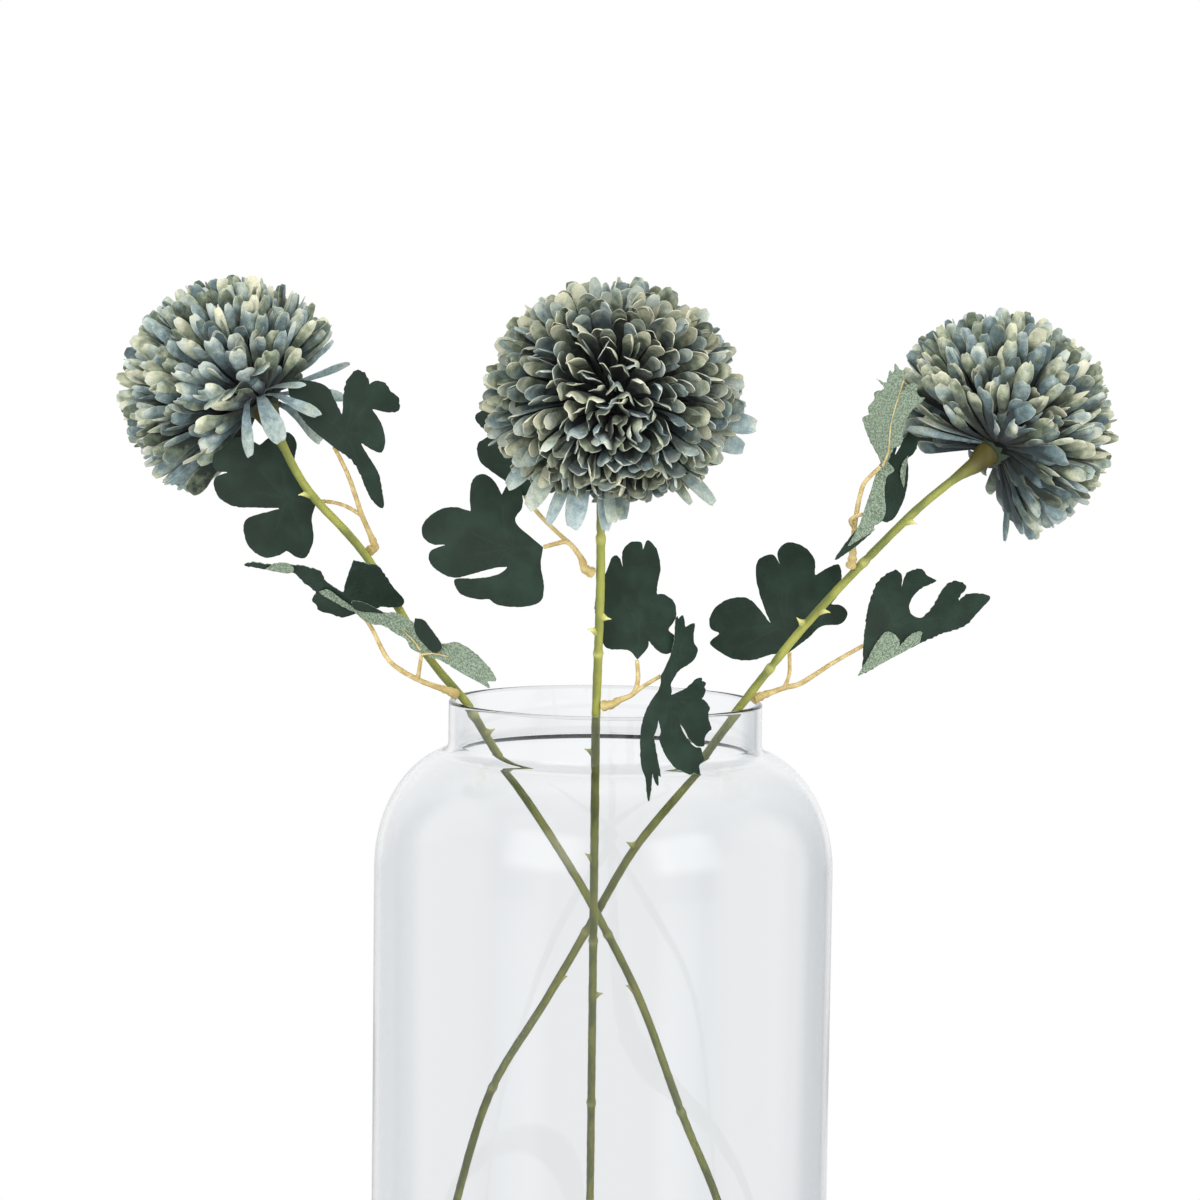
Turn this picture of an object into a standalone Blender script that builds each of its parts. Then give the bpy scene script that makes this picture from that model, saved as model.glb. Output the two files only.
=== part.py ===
"""Three fabric pompon chrysanthemums on thorny plastic stems in a wide clear glass bottle.

Sizes and points are millimetres, and add_object turns them into metres. The origin is the centre of the
bottle's foot, +Z is up, and the middle flower faces -Y.
"""

import math

import bmesh
import bpy
from mathutils import Vector
from mathutils.geometry import delaunay_2d_cdt

MM = 0.001
GAP = 0.3  # between pieces that touch

# Bottle
BOTTLE_HEIGHT = 335.0
BODY_RADIUS = 100.0
NECK_RADIUS = 68.3
WALL = 3.0
FLOOR = 5.0
FOOT_ROUND = 14.0
SHOULDER_START = 262.0
SHOULDER_REACH = 38.9
SHOULDER_RISE = 52.5
NECK_FILLET = 2.0
LIP_ROUND = 1.0
BOTTLE_SIDES = 40

# Stems
STEM_RADIUS = 1.8
STEM_SIDES = 8
STEM_STEP = 15.0
TRUMPET_RADIUS = 6.0
TRUMPET_LENGTH = 22.0
TRUMPET_STEPS = (0.0, 1.0, 6.0, 11.0, 16.0, 22.0)
RING_SWELL = 0.5
RING_REACH = 2.0
THORN_LENGTH = 5.2
THORN_RADIUS = 1.3

# Blooms
BALL_RADIUS = 50.0
CORE_RADIUS = 22.5
CORE_SIDES = 10
PETAL_COUNT = 84
CENTRE_CROWDING = 1.15
WIDEST_BEND = 126.0  # so that no petal bends back onto the calyx
PETAL_HALF_WIDTH = 7.8
LOOSE_HALF_WIDTH = 4.2
PETAL_THICKNESS = 1.1
PETAL_CUP = 0.32
CALYX_THICKNESS = 1.0
CALYX_RADIUS = 9.5
CALYX_POINTS = 8

# Twigs and leaves
TWIG_SIDES = 6
TWIG_STEP = 6.0
TWIG_ROOT_RADIUS = 2.3
TWIG_NECK_RADIUS = 1.5
TWIG_TIP_RADIUS = 0.9
LEAF_THICKNESS = 0.8
LEAF_GRID = 9.0

# Each flower: the ball's centre and the way it faces, the calyx and the trumpet's direction, the angle from the
# face out to its last petals, how much of that angle is missing on its open side, each loose petal's bend and
# tip, and the stem's route from the trumpet down to the floor
FLOWERS = {
    "left": {
        "centre": (-161, -4, 467),
        "face": (-0.58, 0.55, 0.60),
        "calyx": (-147, -19, 460),
        "neck": (-0.42, 0.50, 0.76),
        "widest": 126,
        "missing": 38,
        "open_side": (0.53, 0.40, -0.85),
        "loose": [((-152, -44, 476), (-151.5, -34, 440)), ((-146, -48, 475), (-138, -38, 446)),
                  ((-131.5, -3.5, 466.5), (-122, -18, 446)), ((-147, -44, 475), (-124, -36, 457)),
                  ((-150, -38, 474), (-127, -37, 469)), ((-129.5, -12.5, 473), (-110, -12, 477)),
                  ((-130, -7.5, 469.5), (-113, -10, 461))],
        "route": [(-139, -28, 446), (-127, -27, 425), (-103, -24, 398), (-77, -21, 356),
                  (-59, -18, 334), (-48, -16, 316), (-19, -9, 270), (-3, -1.5, 242), (17, 5, 202),
                  (36, 11, 151), (53, 15, 110), (70, 20, 55), (77, 22, 18)],
        "foot": (78, 22),
        "rings": (392, 330, 232, 151),
        "thorns": ((424, -1, -0.3), (322, 1, 0.3), (206, -1, 0.4)),
    },
    "middle": {
        "centre": (1, -150, 465),
        "face": (0.0, -0.98, -0.20),
        "calyx": (1, -128.4, 469.4),
        "neck": (0.0, -0.98, -0.20),
        "widest": 118,
        "missing": 0,
        "open_side": (0, 0, -1),
        "loose": [],
        "route": [(-1, -105, 462), (-3, -100, 440), (-3, -97, 415), (-3, -85, 385), (-4, -63, 335), (-4, -42, 297),
                  (-4, -16, 244), (-4, 8, 201), (-4, 34, 150), (-4, 58, 97), (-4, 76, 45), (-4, 80, 15)],
        "foot": (-4, 80),
        "rings": (410, 362, 231, 149),
        "thorns": ((378, 1, -0.4), (371, -1, 0.1), (318, -1, 0.3), (269, -1, 0.5), (203, 1, 0.2)),
    },
    "right": {
        "centre": (169, -6, 456),
        "face": (0.33, 0.60, 0.73),
        "calyx": (162, -22, 445.5),
        "neck": (0.68, 0.50, 0.54),
        "widest": 127,
        "missing": 50,
        "open_side": (-0.60, 0.30, -0.74),
        "loose": [((173.5, -9.5, 430.5), (170, -9, 407)), ((175, -11.5, 430), (184.5, -4, 406.5)),
                  ((172, -7.5, 431), (177, 2, 416))],
        "route": [(145, -29, 433), (129, -28, 419), (105, -27, 394), (83, -26, 369),
                  (61, -23, 340), (49, -20, 323), (33, -13, 298), (13, -5, 270), (-3, 4.5, 240), (-25, 9, 200),
                  (-49, 14, 158), (-64, 18, 107), (-75, 22, 55), (-78, 24, 18)],
        "foot": (-78, 24),
        "rings": (398, 352, 232, 160),
        "thorns": ((416, 1, -0.5), (377, 1, -0.3), (371, -1, 0.6), (272, -1, 0.3), (209, 1, 0.4)),
    },
}

# Each twig: the height where it leaves its stem, its route to the first leaf (whose first point only says which
# way it leaves), and the route of the side shoot to the second leaf, which starts at the point numbered in "fork"
TWIGS = {
    "left_upper": {
        "flower": "left",
        "height": 398,
        "main": [(-100, -20.5, 402), (-105, -21, 415), (-110, -23, 430), (-114, -25, 439), (-116.5, -27, 444)],
        "fork": 1,
        "side": [(-113, -17, 419), (-121, -14, 420.5), (-125, -13, 420)],
    },
    "left_lower": {
        "flower": "left",
        "height": 337,
        "main": [(-69, -28, 342), (-80, -31, 346), (-92, -33, 354), (-99, -34, 367), (-104, -34, 374)],
        "fork": 1,
        "side": [(-79, -34, 352), (-78, -36, 358)],
    },
    "middle_upper": {
        "flower": "middle",
        "height": 394,
        "main": [(-8, -92, 397), (-11, -92, 402), (-16, -92, 408), (-21, -92, 407.5), (-26, -92, 406)],
        "fork": 2,
        "side": [(-24, -88, 415), (-30, -83, 421), (-34, -80, 426)],
    },
    "middle_lower": {
        "flower": "middle",
        "height": 339,
        "main": [(1, -67.5, 340), (5, -69, 342), (11, -70, 345), (13, -71, 351), (12.5, -72, 359)],
        "fork": 2,
        "side": [(16, -73, 349), (22, -76, 353)],
    },
    "right_upper": {
        "flower": "right",
        "height": 391,
        "main": [(104, -32, 402), (104, -34, 413), (105, -36, 422), (107, -37, 431), (110, -38, 435), (114, -39, 439)],
        "fork": 1,
        "side": [(102, -36, 416), (104, -38, 418), (107, -39, 419)],
    },
    "right_lower": {
        "flower": "right",
        "height": 337,
        "main": [(71, -17, 341), (77, -15, 343), (84, -15, 345), (97, -18, 354), (110, -20, 362)],
        "fork": 1,
        "side": [(79, -13, 349), (79, -12, 358)],
    },
}

# Each leaf: the twig it ends, which of the twig's two ends (0 main, 1 side), its size, the slope and the
# bend of its sheet away from -Y, its folds, and its outline seen from -Y. An outline is a list of lobes from
# the leaf's base round to it again, each a smooth line whose last point is the notch before the next lobe.
# A fold is a point on its line, the way that the folded part lies, its angle in degrees and its radius.
LEAVES = {
    "left_upper_1": {
        "twig": "left_upper", "end": 0, "size": 1.0, "slope": (0.0, -0.05), "bend": (0.006, 0.0, 0.0),
        "folds": [],
        "outline": [
            [(-10, 8), (-16.5, 16), (-20, 24), (-19.5, 28.5), (-10, 28), (-2.5, 25.5), (0.5, 20), (3.5, 14)],
            [(3.9, 24), (6, 30), (9, 33), (13, 32), (15, 28), (13.5, 25)],
            [(16, 28), (21, 28), (24, 24), (27.5, 21), (27, 15.5), (22, 15), (16, 16.5)],
            [(20, 10), (21.5, 3), (20, -2), (15.5, -0.5), (11.5, 2)],
            [(15, -4), (18.5, -10), (20, -16), (21, -25.5), (16, -22.5), (12, -14), (7.5, -6), (0, 0)],
        ],
    },
    "left_upper_2": {
        "twig": "left_upper", "end": 1, "size": 1.0, "slope": (0.30, 0.05), "bend": (0.002, 0.0, 0.0),
        "folds": [],
        "outline": [
            [(-5, 5), (-9.5, 15), (-8.5, 25), (-12, 30), (-18, 29), (-24, 24.5)],
            [(-30, 27.5), (-36, 27), (-41, 24), (-43.5, 18.5), (-42.5, 13.5), (-37, 12.6)],
            [(-42, 10.8), (-43, 7), (-40.5, 1.5), (-34, -2), (-25, -2.4), (-15.2, -2.6)],
            [(-23, -4.8), (-29, -7), (-30.4, -12), (-28, -19), (-22, -23.5), (-16, -23), (-12, -20.7)],
            [(-8, -23.5), (-4, -23.5), (-1, -16), (-1.8, -7), (0, 0)],
        ],
    },
    "left_lower_1": {
        "twig": "left_lower", "end": 0, "size": 0.97, "slope": (0.25, -0.45), "bend": (0.008, 0.0, 0.010),
        "folds": [],
        "outline": [
            [(-7.5, -2.8), (-14, -1.8), (-19, 0), (-21.5, 4.5), (-18, 8)],
            [(-25, 11), (-31, 15), (-40, 16.5), (-50.5, 19), (-45, 21.5), (-34, 22), (-24, 21)],
            [(-17, 20), (-14.5, 16), (-12, 11), (-8.5, 8.5)],
            [(-6.5, 14), (-3.5, 22.5), (3.5, 19.5)],
            [(6, 20.5), (10, 16.5), (14, 10.5), (18, 4), (16, 1.3), (8, 1.8), (0, 0)],
        ],
    },
    "left_lower_2": {
        "twig": "left_lower", "end": 1, "size": 0.97, "slope": (-0.25, -0.20), "bend": (-0.008, 0.0, 0.010),
        "folds": [((-1, 12), (0.53, 0.85), 150, 1.2)],
        "outline": [
            [(-4.5, 6), (-10, 9), (-17, 12.5), (-25, 17.5), (-20, 19.5), (-14.5, 19.5), (-8, 18), (-3, 14)],
            [(0, 17), (5, 17.5), (10, 14), (13, 9), (11.5, 4.8)],
            [(16.5, 6), (24, 2.5), (30, -2.5), (34, -7.5), (29.8, -9.7)],
            [(31.8, -12.7), (28, -12), (22, -8), (14, -3.8), (7, -1.5), (0, 0)],
        ],
    },
    "middle_upper_1": {
        "twig": "middle_upper", "end": 0, "size": 0.90, "slope": (0.10, 0.05), "bend": (0.004, 0.010, 0.0),
        "folds": [],
        "outline": [
            [(-12.5, 11), (-9.5, 18), (-10.5, 26), (-14, 30), (-17, 27), (-19, 23)],
            [(-22, 28.5), (-27, 32), (-32, 30), (-33.5, 23), (-32.8, 15.5)],
            [(-40, 17.2), (-48, 15.5), (-54, 10), (-54.5, 4), (-50, 0.4), (-43.5, 0.4)],
            [(-50, -2), (-52, -7), (-48, -13), (-40, -15.6), (-30, -13.5), (-16.5, -9)],
            [(-24, -14.8), (-34, -17.5), (-39, -18.5), (-36, -23), (-27, -24.5), (-18, -27.5), (-8, -27.5),
             (-1, -25), (0.5, -18), (-1.5, -9), (0, 0)],
        ],
    },
    "middle_upper_2": {
        "twig": "middle_upper", "end": 1, "size": 1.0, "slope": (0.20, 0.15), "bend": (0.006, 0.0, 0.0),
        "folds": [],
        "outline": [
            [(-6, 5), (-13.4, 10), (-18.3, 14), (-19.5, 21), (-14.5, 24.5)],
            [(-20.6, 31.5), (-17, 35.5), (-12, 38), (-9, 33)],
            [(-5, 40), (2, 43), (7, 38), (6, 30)],
            [(13, 31), (17, 26), (15, 20), (10, 16)],
            [(13, 11), (9, 3), (0, 0)],
        ],
    },
    "middle_lower_1": {
        "twig": "middle_lower", "end": 0, "size": 0.92, "slope": (0.15, 0.35), "bend": (0.012, 0.0, 0.0),
        "folds": [],
        "outline": [
            [(-4.5, 4.2), (-14, 4.8), (-17, 13), (-19.5, 22), (-18, 30), (-14.5, 38), (-11.5, 45), (-8, 43.5),
             (-5.5, 32), (-3, 20.5)],
            [(-5.8, 34), (-7.5, 46), (-4, 51.2), (1, 51.5), (2, 48)],
            [(4, 52.5), (8, 48.5), (10, 40), (8.7, 33), (8.2, 28.4)],
            [(12, 28.2), (16.5, 24.5), (17, 18), (13.5, 12.7)],
            [(17, 9.5), (18, 5), (13, 2.2), (8, 4.5), (4.8, 8.2)],
            [(4.5, 5), (0, 0)],
        ],
    },
    "middle_lower_2": {
        "twig": "middle_lower", "end": 1, "size": 0.90, "slope": (0.20, 0.42), "bend": (0.010, 0.0, 0.012),
        "folds": [],
        "outline": [
            [(2.5, 8.5), (5.3, 16.5), (6.5, 25), (9.5, 25.7)],
            [(10.3, 21.5), (14.5, 21.5)],
            [(14.3, 15), (16, 11), (13.5, 5.5), (8, 1), (4.8, -8.5)],
            [(9, -6), (16.5, -1.7), (19.5, -6), (18, -9.5), (13.5, -11.7)],
            [(19.5, -12.5), (21, -18), (22.3, -23), (18.7, -29), (12, -26.5), (8.5, -21)],
            [(13.5, -29), (17.5, -32), (18, -38), (16, -41.5), (8, -40.5), (2.5, -35.5), (-0.5, -28), (-1.2, -20)],
            [(-2.5, -28), (-2, -36), (-0.5, -44), (-2, -47.5), (-4, -42)],
            [(-5, -48), (-6, -54.5), (-7, -46), (-8.5, -33), (-9, -21.5), (-6.5, -13), (0, 0)],
        ],
    },
    "right_upper_1": {
        "twig": "right_upper", "end": 0, "size": 1.0, "slope": (-0.90, 0.10), "bend": (0.0, 0.006, 0.0),
        "folds": [],
        "outline": [
            [(-3, 8), (-6.5, 15), (-7.8, 22), (-5, 28), (-2.8, 31)],
            [(-2.5, 34), (2, 37), (4, 40)],
            [(6.5, 44.5), (10, 43), (13, 38)],
            [(14.5, 35), (16.5, 31), (12.5, 27), (10, 22), (7.2, 14), (5, 5), (0, 0)],
        ],
    },
    "right_upper_2": {
        "twig": "right_upper", "end": 1, "size": 1.0, "slope": (0.50, 0.10), "bend": (0.0, 0.004, 0.0),
        "folds": [((0, 0), (-0.90, 0.44), 150, 1.5)],
        "outline": [
            [(-9, 4), (-11, 11), (-8, 17), (-3, 20), (3, 19), (7, 15)],
            [(10, 22), (13, 30), (17, 36.5), (22, 37), (24.5, 33), (23, 28), (19, 25)],
            [(20.5, 16), (19, 7), (15, -0.5), (12, -2.3), (8, -1.5)],
            [(5, -7), (-3, -14), (-12, -18.5), (-9, -12), (-3, -6), (0, 0)],
        ],
    },
    "right_lower_1": {
        "twig": "right_lower", "end": 1, "size": 1.0, "slope": (0.0, 0.10), "bend": (0.006, 0.006, 0.0),
        "folds": [],
        "outline": [
            [(-8, -1.2), (-16, -3.8), (-24, -3.5), (-30, -0.5), (-34.2, 3), (-29.8, 7.3)],
            [(-34, 9.5), (-33.5, 15.5), (-28, 21.3), (-19, 23), (-13.5, 19), (-8, 12)],
            [(-11, 19), (-14, 29), (-14, 38), (-9, 41.3), (-6, 40.5), (-3.8, 36.8)],
            [(-5, 42), (-1, 46.6), (5.5, 45.5), (11, 40), (11.2, 32.6)],
            [(16, 35.5), (22, 37.5), (23, 31), (21.5, 25), (18, 20.5)],
            [(23, 20), (25.5, 16), (22, 12), (14, 11.3), (8, 6), (0, 0)],
        ],
    },
    "right_lower_2": {
        "twig": "right_lower", "end": 0, "size": 0.98, "slope": (-0.12, 0.08), "bend": (0.008, 0.006, 0.0),
        "folds": [((-0.5, -11), (0.47, -0.88), 155, 1.2)],
        "outline": [
            [(0.5, 9), (2.8, 20), (6, 27.5), (10, 31), (14.5, 33), (17.3, 30), (16.8, 25)],
            [(19, 31.5), (26, 33.3), (29, 30), (32.8, 27.8), (25.5, 24.5), (21, 20), (20, 16), (22, 13), (26, 12.8),
             (31, 18), (37, 26.5), (43, 28), (47, 25), (42.5, 19.5)],
            [(48, 22.5), (58.3, 20.5), (53, 15), (46, 8), (36, 5), (27.8, 0)],
            [(25.5, -1.5), (17.5, -4.7)],
            [(21.5, -8.2), (17.9, -12.2), (9, -13.5), (-1, -12), (-0.3, -5), (0, 0)],
        ],
    },
}

COLOURS = {
    "clear_glass": ((0.86, 0.89, 0.91, 0.35), 0.03),
    "stem_plastic": ((0.27, 0.31, 0.08, 1), 0.5),
    "calyx_plastic": ((0.08, 0.13, 0.05, 1), 0.6),
    "petal_fabric": ((0.26, 0.33, 0.36, 1), 0.85),
    "twig_plastic": ((0.55, 0.44, 0.18, 1), 0.5),
    "leaf_fabric": ((0.03, 0.06, 0.04, 1), 0.75),
}


def clear_scene():
    """Removes whatever the file holds."""
    for obj in list(bpy.data.objects):
        bpy.data.objects.remove(obj)


def material(name):
    """The named finish as a Principled BSDF material."""
    found = bpy.data.materials.get(name)
    if found:
        return found
    colour, roughness = COLOURS[name]
    made = bpy.data.materials.new(name)
    made.use_nodes = True
    shader = made.node_tree.nodes["Principled BSDF"]
    shader.inputs["Base Color"].default_value = colour
    shader.inputs["Roughness"].default_value = roughness
    shader.inputs["Metallic"].default_value = 0.0
    return made


def add_object(name, verts, faces, finish):
    """Makes an object from millimetre points, with its faces turned outward and shaded smooth."""
    mesh = bpy.data.meshes.new(name)
    mesh.from_pydata([Vector(v) * MM for v in verts], [], faces)
    shape = bmesh.new()
    shape.from_mesh(mesh)
    bmesh.ops.recalc_face_normals(shape, faces=shape.faces)
    shape.to_mesh(mesh)
    shape.free()
    mesh.materials.append(material(finish))
    mesh.shade_smooth()
    mesh.set_sharp_from_angle(angle=math.radians(40))
    obj = bpy.data.objects.new(name, mesh)
    bpy.context.scene.collection.objects.link(obj)
    return obj


def main_body(mesh):
    """Keeps the largest connected body, which drops loose scraps and fills sealed pockets."""
    shape = bmesh.new()
    shape.from_mesh(mesh)
    left = set(shape.faces)
    bodies = []
    while left:
        front = [left.pop()]
        body = set(front)
        while front:
            for edge in front.pop().edges:
                for face in edge.link_faces:
                    if face in left:
                        left.remove(face)
                        body.add(face)
                        front.append(face)
        bodies.append(body)
    largest = max(bodies, key=len)
    bmesh.ops.delete(shape, geom=[f for f in shape.faces if f not in largest], context="FACES")
    shape.to_mesh(mesh)
    shape.free()


def unite(base, extras):
    """Joins the extra objects to base with one Boolean union on a collection, then removes them."""
    group = bpy.data.collections.new(base.name + "_extras")
    bpy.context.scene.collection.children.link(group)
    for extra in extras:
        bpy.context.scene.collection.objects.unlink(extra)
        group.objects.link(extra)
    union = base.modifiers.new("union", "BOOLEAN")
    union.operation = "UNION"
    union.operand_type = "COLLECTION"
    union.collection = group
    union.solver = "EXACT"
    bpy.context.view_layer.update()
    graph = bpy.context.evaluated_depsgraph_get()
    joined = bpy.data.meshes.new_from_object(base.evaluated_get(graph))
    base.modifiers.clear()
    base.data = joined
    for extra in extras:
        bpy.data.objects.remove(extra)
    bpy.data.collections.remove(group)
    main_body(joined)


def arc(centre, radii, start, end, steps):
    """Points (r, z) on an elliptic arc between two angles in degrees, counted from +r towards +z."""
    angles = [math.radians(start + (end - start) * i / steps) for i in range(steps + 1)]
    return [(centre[0] + radii[0] * math.cos(a), centre[1] + radii[1] * math.sin(a)) for a in angles]


def lathe(profile, sides):
    """Closed surface turned round +Z from (r, z) points that start and end on the axis."""
    verts = []
    rings = []
    for r, z in profile:
        if r == 0:
            rings.append([len(verts)] * sides)
            verts.append((0, 0, z))
        else:
            rings.append(range(len(verts), len(verts) + sides))
            verts += [(r * math.cos(math.tau * i / sides), r * math.sin(math.tau * i / sides), z)
                      for i in range(sides)]
    faces = []
    for low, high in zip(rings, rings[1:]):
        for i in range(sides):
            j = (i + 1) % sides
            corners = [low[i], low[j], high[j], high[i]]
            faces.append(list(dict.fromkeys(corners)))
    return verts, faces


def smooth_path(points, steps):
    """Catmull-Rom curve through the points, with so many steps between neighbours."""
    points = [Vector(p) for p in points]
    ends = [2 * points[0] - points[1]] + points + [2 * points[-1] - points[-2]]
    curve = []
    for a, b, c, d in zip(ends, ends[1:], ends[2:], ends[3:]):
        for i in range(steps):
            t = i / steps
            curve.append(0.5 * (2 * b + (c - a) * t + (2 * a - 5 * b + 4 * c - d) * t * t
                                + (3 * b - a - 3 * c + d) * t ** 3))
    return curve + [points[-1]]


def lengths_along(path):
    """Distance of each point of a path from its start."""
    total = [0.0]
    for a, b in zip(path, path[1:]):
        total.append(total[-1] + (b - a).length)
    return total


def point_at(path, distance):
    """The point of a path at a distance from its start."""
    for a, b, low, high in zip(path, path[1:], lengths_along(path), lengths_along(path)[1:]):
        if distance <= high:
            return a.lerp(b, (distance - low) / (high - low))
    return path[-1]


def tube(path, radii, sides):
    """Closed tube along a path, with a radius for each point and flat ends."""
    tangents = [(b - a).normalized() for a, b in zip([path[0]] + path[:-2] + [path[-2]], path[1:] + [path[-1]])]
    across = tangents[0].orthogonal().normalized()
    verts = []
    for i, (centre, radius) in enumerate(zip(path, radii)):
        if i:
            across = tangents[i - 1].rotation_difference(tangents[i]) @ across
        other = tangents[i].cross(across)
        verts += [centre + radius * (math.cos(a) * across + math.sin(a) * other)
                  for a in (math.tau * k / sides for k in range(sides))]
    faces = [list(range(sides)), list(range(len(verts) - sides, len(verts)))]
    for ring in range(len(path) - 1):
        for k in range(sides):
            n = (k + 1) % sides
            low = ring * sides
            faces.append([low + k, low + n, low + sides + n, low + sides + k])
    return verts, faces


def make_bottle():
    """Glass bottle: rounded foot, straight body, elliptic shoulder and a short straight neck."""
    shoulder = (BODY_RADIUS - SHOULDER_REACH, SHOULDER_START)
    outer_end = math.degrees(math.acos((NECK_RADIUS + NECK_FILLET - shoulder[0]) / SHOULDER_REACH))
    inner_neck = NECK_RADIUS - WALL
    inner_reach = SHOULDER_REACH - WALL
    inner_rise = SHOULDER_RISE - WALL
    inner_end = math.degrees(math.acos((inner_neck + LIP_ROUND - shoulder[0]) / inner_reach))
    foot = BODY_RADIUS - FOOT_ROUND
    inner_round = FOOT_ROUND - WALL
    lip = BOTTLE_HEIGHT - LIP_ROUND
    neck_low = SHOULDER_START + SHOULDER_RISE
    profile = [(0, 0)]
    profile += arc((foot, FOOT_ROUND), (FOOT_ROUND, FOOT_ROUND), -90, 0, 3)
    profile += arc(shoulder, (SHOULDER_REACH, SHOULDER_RISE), 0, outer_end, 7)
    profile += [(NECK_RADIUS, neck_low + NECK_FILLET), (NECK_RADIUS, lip)]
    profile += [(NECK_RADIUS - LIP_ROUND, BOTTLE_HEIGHT), (inner_neck + LIP_ROUND, BOTTLE_HEIGHT)]
    profile += [(inner_neck, lip), (inner_neck, neck_low - WALL + LIP_ROUND)]
    profile += arc(shoulder, (inner_reach, inner_rise), inner_end, 0, 6)
    profile += arc((foot, FLOOR + inner_round), (inner_round, inner_round), 0, -90, 3)
    profile += [(0, FLOOR)]
    add_object("glass_bottle", *lathe(profile, BOTTLE_SIDES), "clear_glass")


def unit(flower, key):
    """Unit vector of one of a flower's directions."""
    return Vector(flower[key]).normalized()


def stem_path(flower):
    """The stem's centre line, from the trumpet's face down to the bottle's floor."""
    neck = unit(flower, "neck")
    top = Vector(flower["calyx"]) - neck * (CALYX_THICKNESS + 2 * GAP)
    foot = flower["foot"]
    lead = [top, top - neck * 3, top - neck * 9]
    ends = [(*foot, FLOOR + GAP + 5), (*foot, FLOOR + GAP)]
    return smooth_path(lead + flower["route"] + ends, 6)


def stem_stations(path, flower):
    """Distances along a stem that get a ring of points: even steps, the trumpet and both sides of each ring."""
    total = lengths_along(path)[-1]
    count = round(total / STEM_STEP)
    stations = {total * i / count for i in range(count + 1)}
    stations |= set(TRUMPET_STEPS)
    for distance in ring_distances(path, flower):
        stations = {s for s in stations if abs(s - distance) > 2 * RING_REACH}
        stations |= {distance - RING_REACH, distance, distance + RING_REACH}
    return sorted(stations)


def ring_distances(path, flower):
    """Distances along the stem of its rings, which are given by height."""
    return [distance_at_height(path, z) for z in flower["rings"]]


def distance_at_height(path, height):
    """Distance along a descending path to the first point that is as low as height."""
    for low, high, start in zip(path[1:], path, lengths_along(path)):
        if low.z <= height <= high.z:
            return start + (high - low).length * (high.z - height) / (high.z - low.z)
    return 0.0


def stem_radius(distance, rings):
    """Stem radius: a trumpet at the top, and a small swelling at each ring."""
    flare = max(0.0, 1 - distance / TRUMPET_LENGTH)
    radius = STEM_RADIUS + (TRUMPET_RADIUS - STEM_RADIUS) * flare ** 1.4
    swell = RING_SWELL if any(abs(distance - r) < 0.1 for r in rings) else 0.0
    return radius + swell


def make_thorn(name, path, height, side, rise):
    """One thorn: a small cone rooted on the stem's centre line and pointing to -X or +X."""
    root = point_at(path, distance_at_height(path, height))
    tip = root + Vector((side, -0.35, rise)).normalized() * THORN_LENGTH
    return add_object(name, *tube([root, tip], [THORN_RADIUS, 0.25], 4), "stem_plastic")


def make_stem(side, flower):
    """One stem with its trumpet, rings and thorns."""
    path = stem_path(flower)
    rings = ring_distances(path, flower)
    stations = stem_stations(path, flower)
    route = [point_at(path, s) for s in stations]
    radii = [stem_radius(s, rings) for s in stations]
    stem = add_object("stem_" + side, *tube(route, radii, STEM_SIDES), "stem_plastic")
    thorns = [make_thorn("thorn", path, *thorn) for thorn in flower["thorns"]]
    unite(stem, thorns)


def set_on_calyx(obj, flower):
    """Moves an object from the origin to a flower's calyx and turns its +Z to the flower."""
    obj.location = Vector(flower["calyx"]) * MM
    obj.rotation_mode = "QUATERNION"
    obj.rotation_quaternion = unit(flower, "neck").to_track_quat("Z", "Y")


def make_calyx(side, flower):
    """The green star between trumpet and petals."""
    count = CALYX_POINTS * 2
    verts = []
    for height in (-GAP - CALYX_THICKNESS, -GAP):
        for i in range(count):
            radius = CALYX_RADIUS * (1.0 if i % 2 else 0.72)
            angle = math.tau * i / count
            verts.append((radius * math.cos(angle), radius * math.sin(angle), height))
    faces = [list(range(count)), list(range(count, 2 * count))]
    faces += [[i, (i + 1) % count, count + (i + 1) % count, count + i] for i in range(count)]
    star = add_object("calyx_" + side, verts, faces, "calyx_plastic")
    set_on_calyx(star, flower)


def make_core(side, flower):
    """The bloom's core: a ball with a flat back on the calyx."""
    flat = CORE_RADIUS * 0.42
    back_angle = -math.degrees(math.acos(0.42))
    ball = arc((0, CORE_RADIUS), (CORE_RADIUS, CORE_RADIUS), back_angle, 90, 5)
    profile = [(0, 0), (flat, 0)] + ball[:-1] + [(0, 2 * CORE_RADIUS)]
    core = add_object("bloom_" + side, *lathe(profile, CORE_SIDES), "petal_fabric")
    set_on_calyx(core, flower)
    return core


def make_petal(line, side, half_width):
    """One spoon-shaped petal along a curved line: three rings of four points and a point at its tip."""
    root, bend, tip = line
    verts = []
    for t, share in ((0.08, 0.24), (0.52, 0.62), (0.86, 1.0)):
        centre = (1 - t) ** 2 * root + 2 * t * (1 - t) * bend + t * t * tip
        tangent = ((1 - t) * (bend - root) + t * (tip - bend)).normalized()
        inward = tangent.cross(side)
        half = half_width * share
        cup = inward * (half * PETAL_CUP)
        skin = inward * (PETAL_THICKNESS / 2)
        verts += [centre - side * half + cup, centre + skin, centre + side * half + cup, centre - skin]
    verts.append(tip)
    faces = [[3, 2, 1, 0]]
    for ring in (0, 4):
        faces += [[ring + k, ring + (k + 1) % 4, ring + 4 + (k + 1) % 4, ring + 4 + k] for k in range(4)]
    faces += [[8 + k, 8 + (k + 1) % 4, 12] for k in range(4)]
    faces = [half for face in faces for half in triangles(face)]
    return add_object("petal", verts, faces, "petal_fabric")


def triangles(face):
    """A face of three or four corners as triangles."""
    return [face] if len(face) == 3 else [face[:3], [face[0], face[2], face[3]]]


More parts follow.
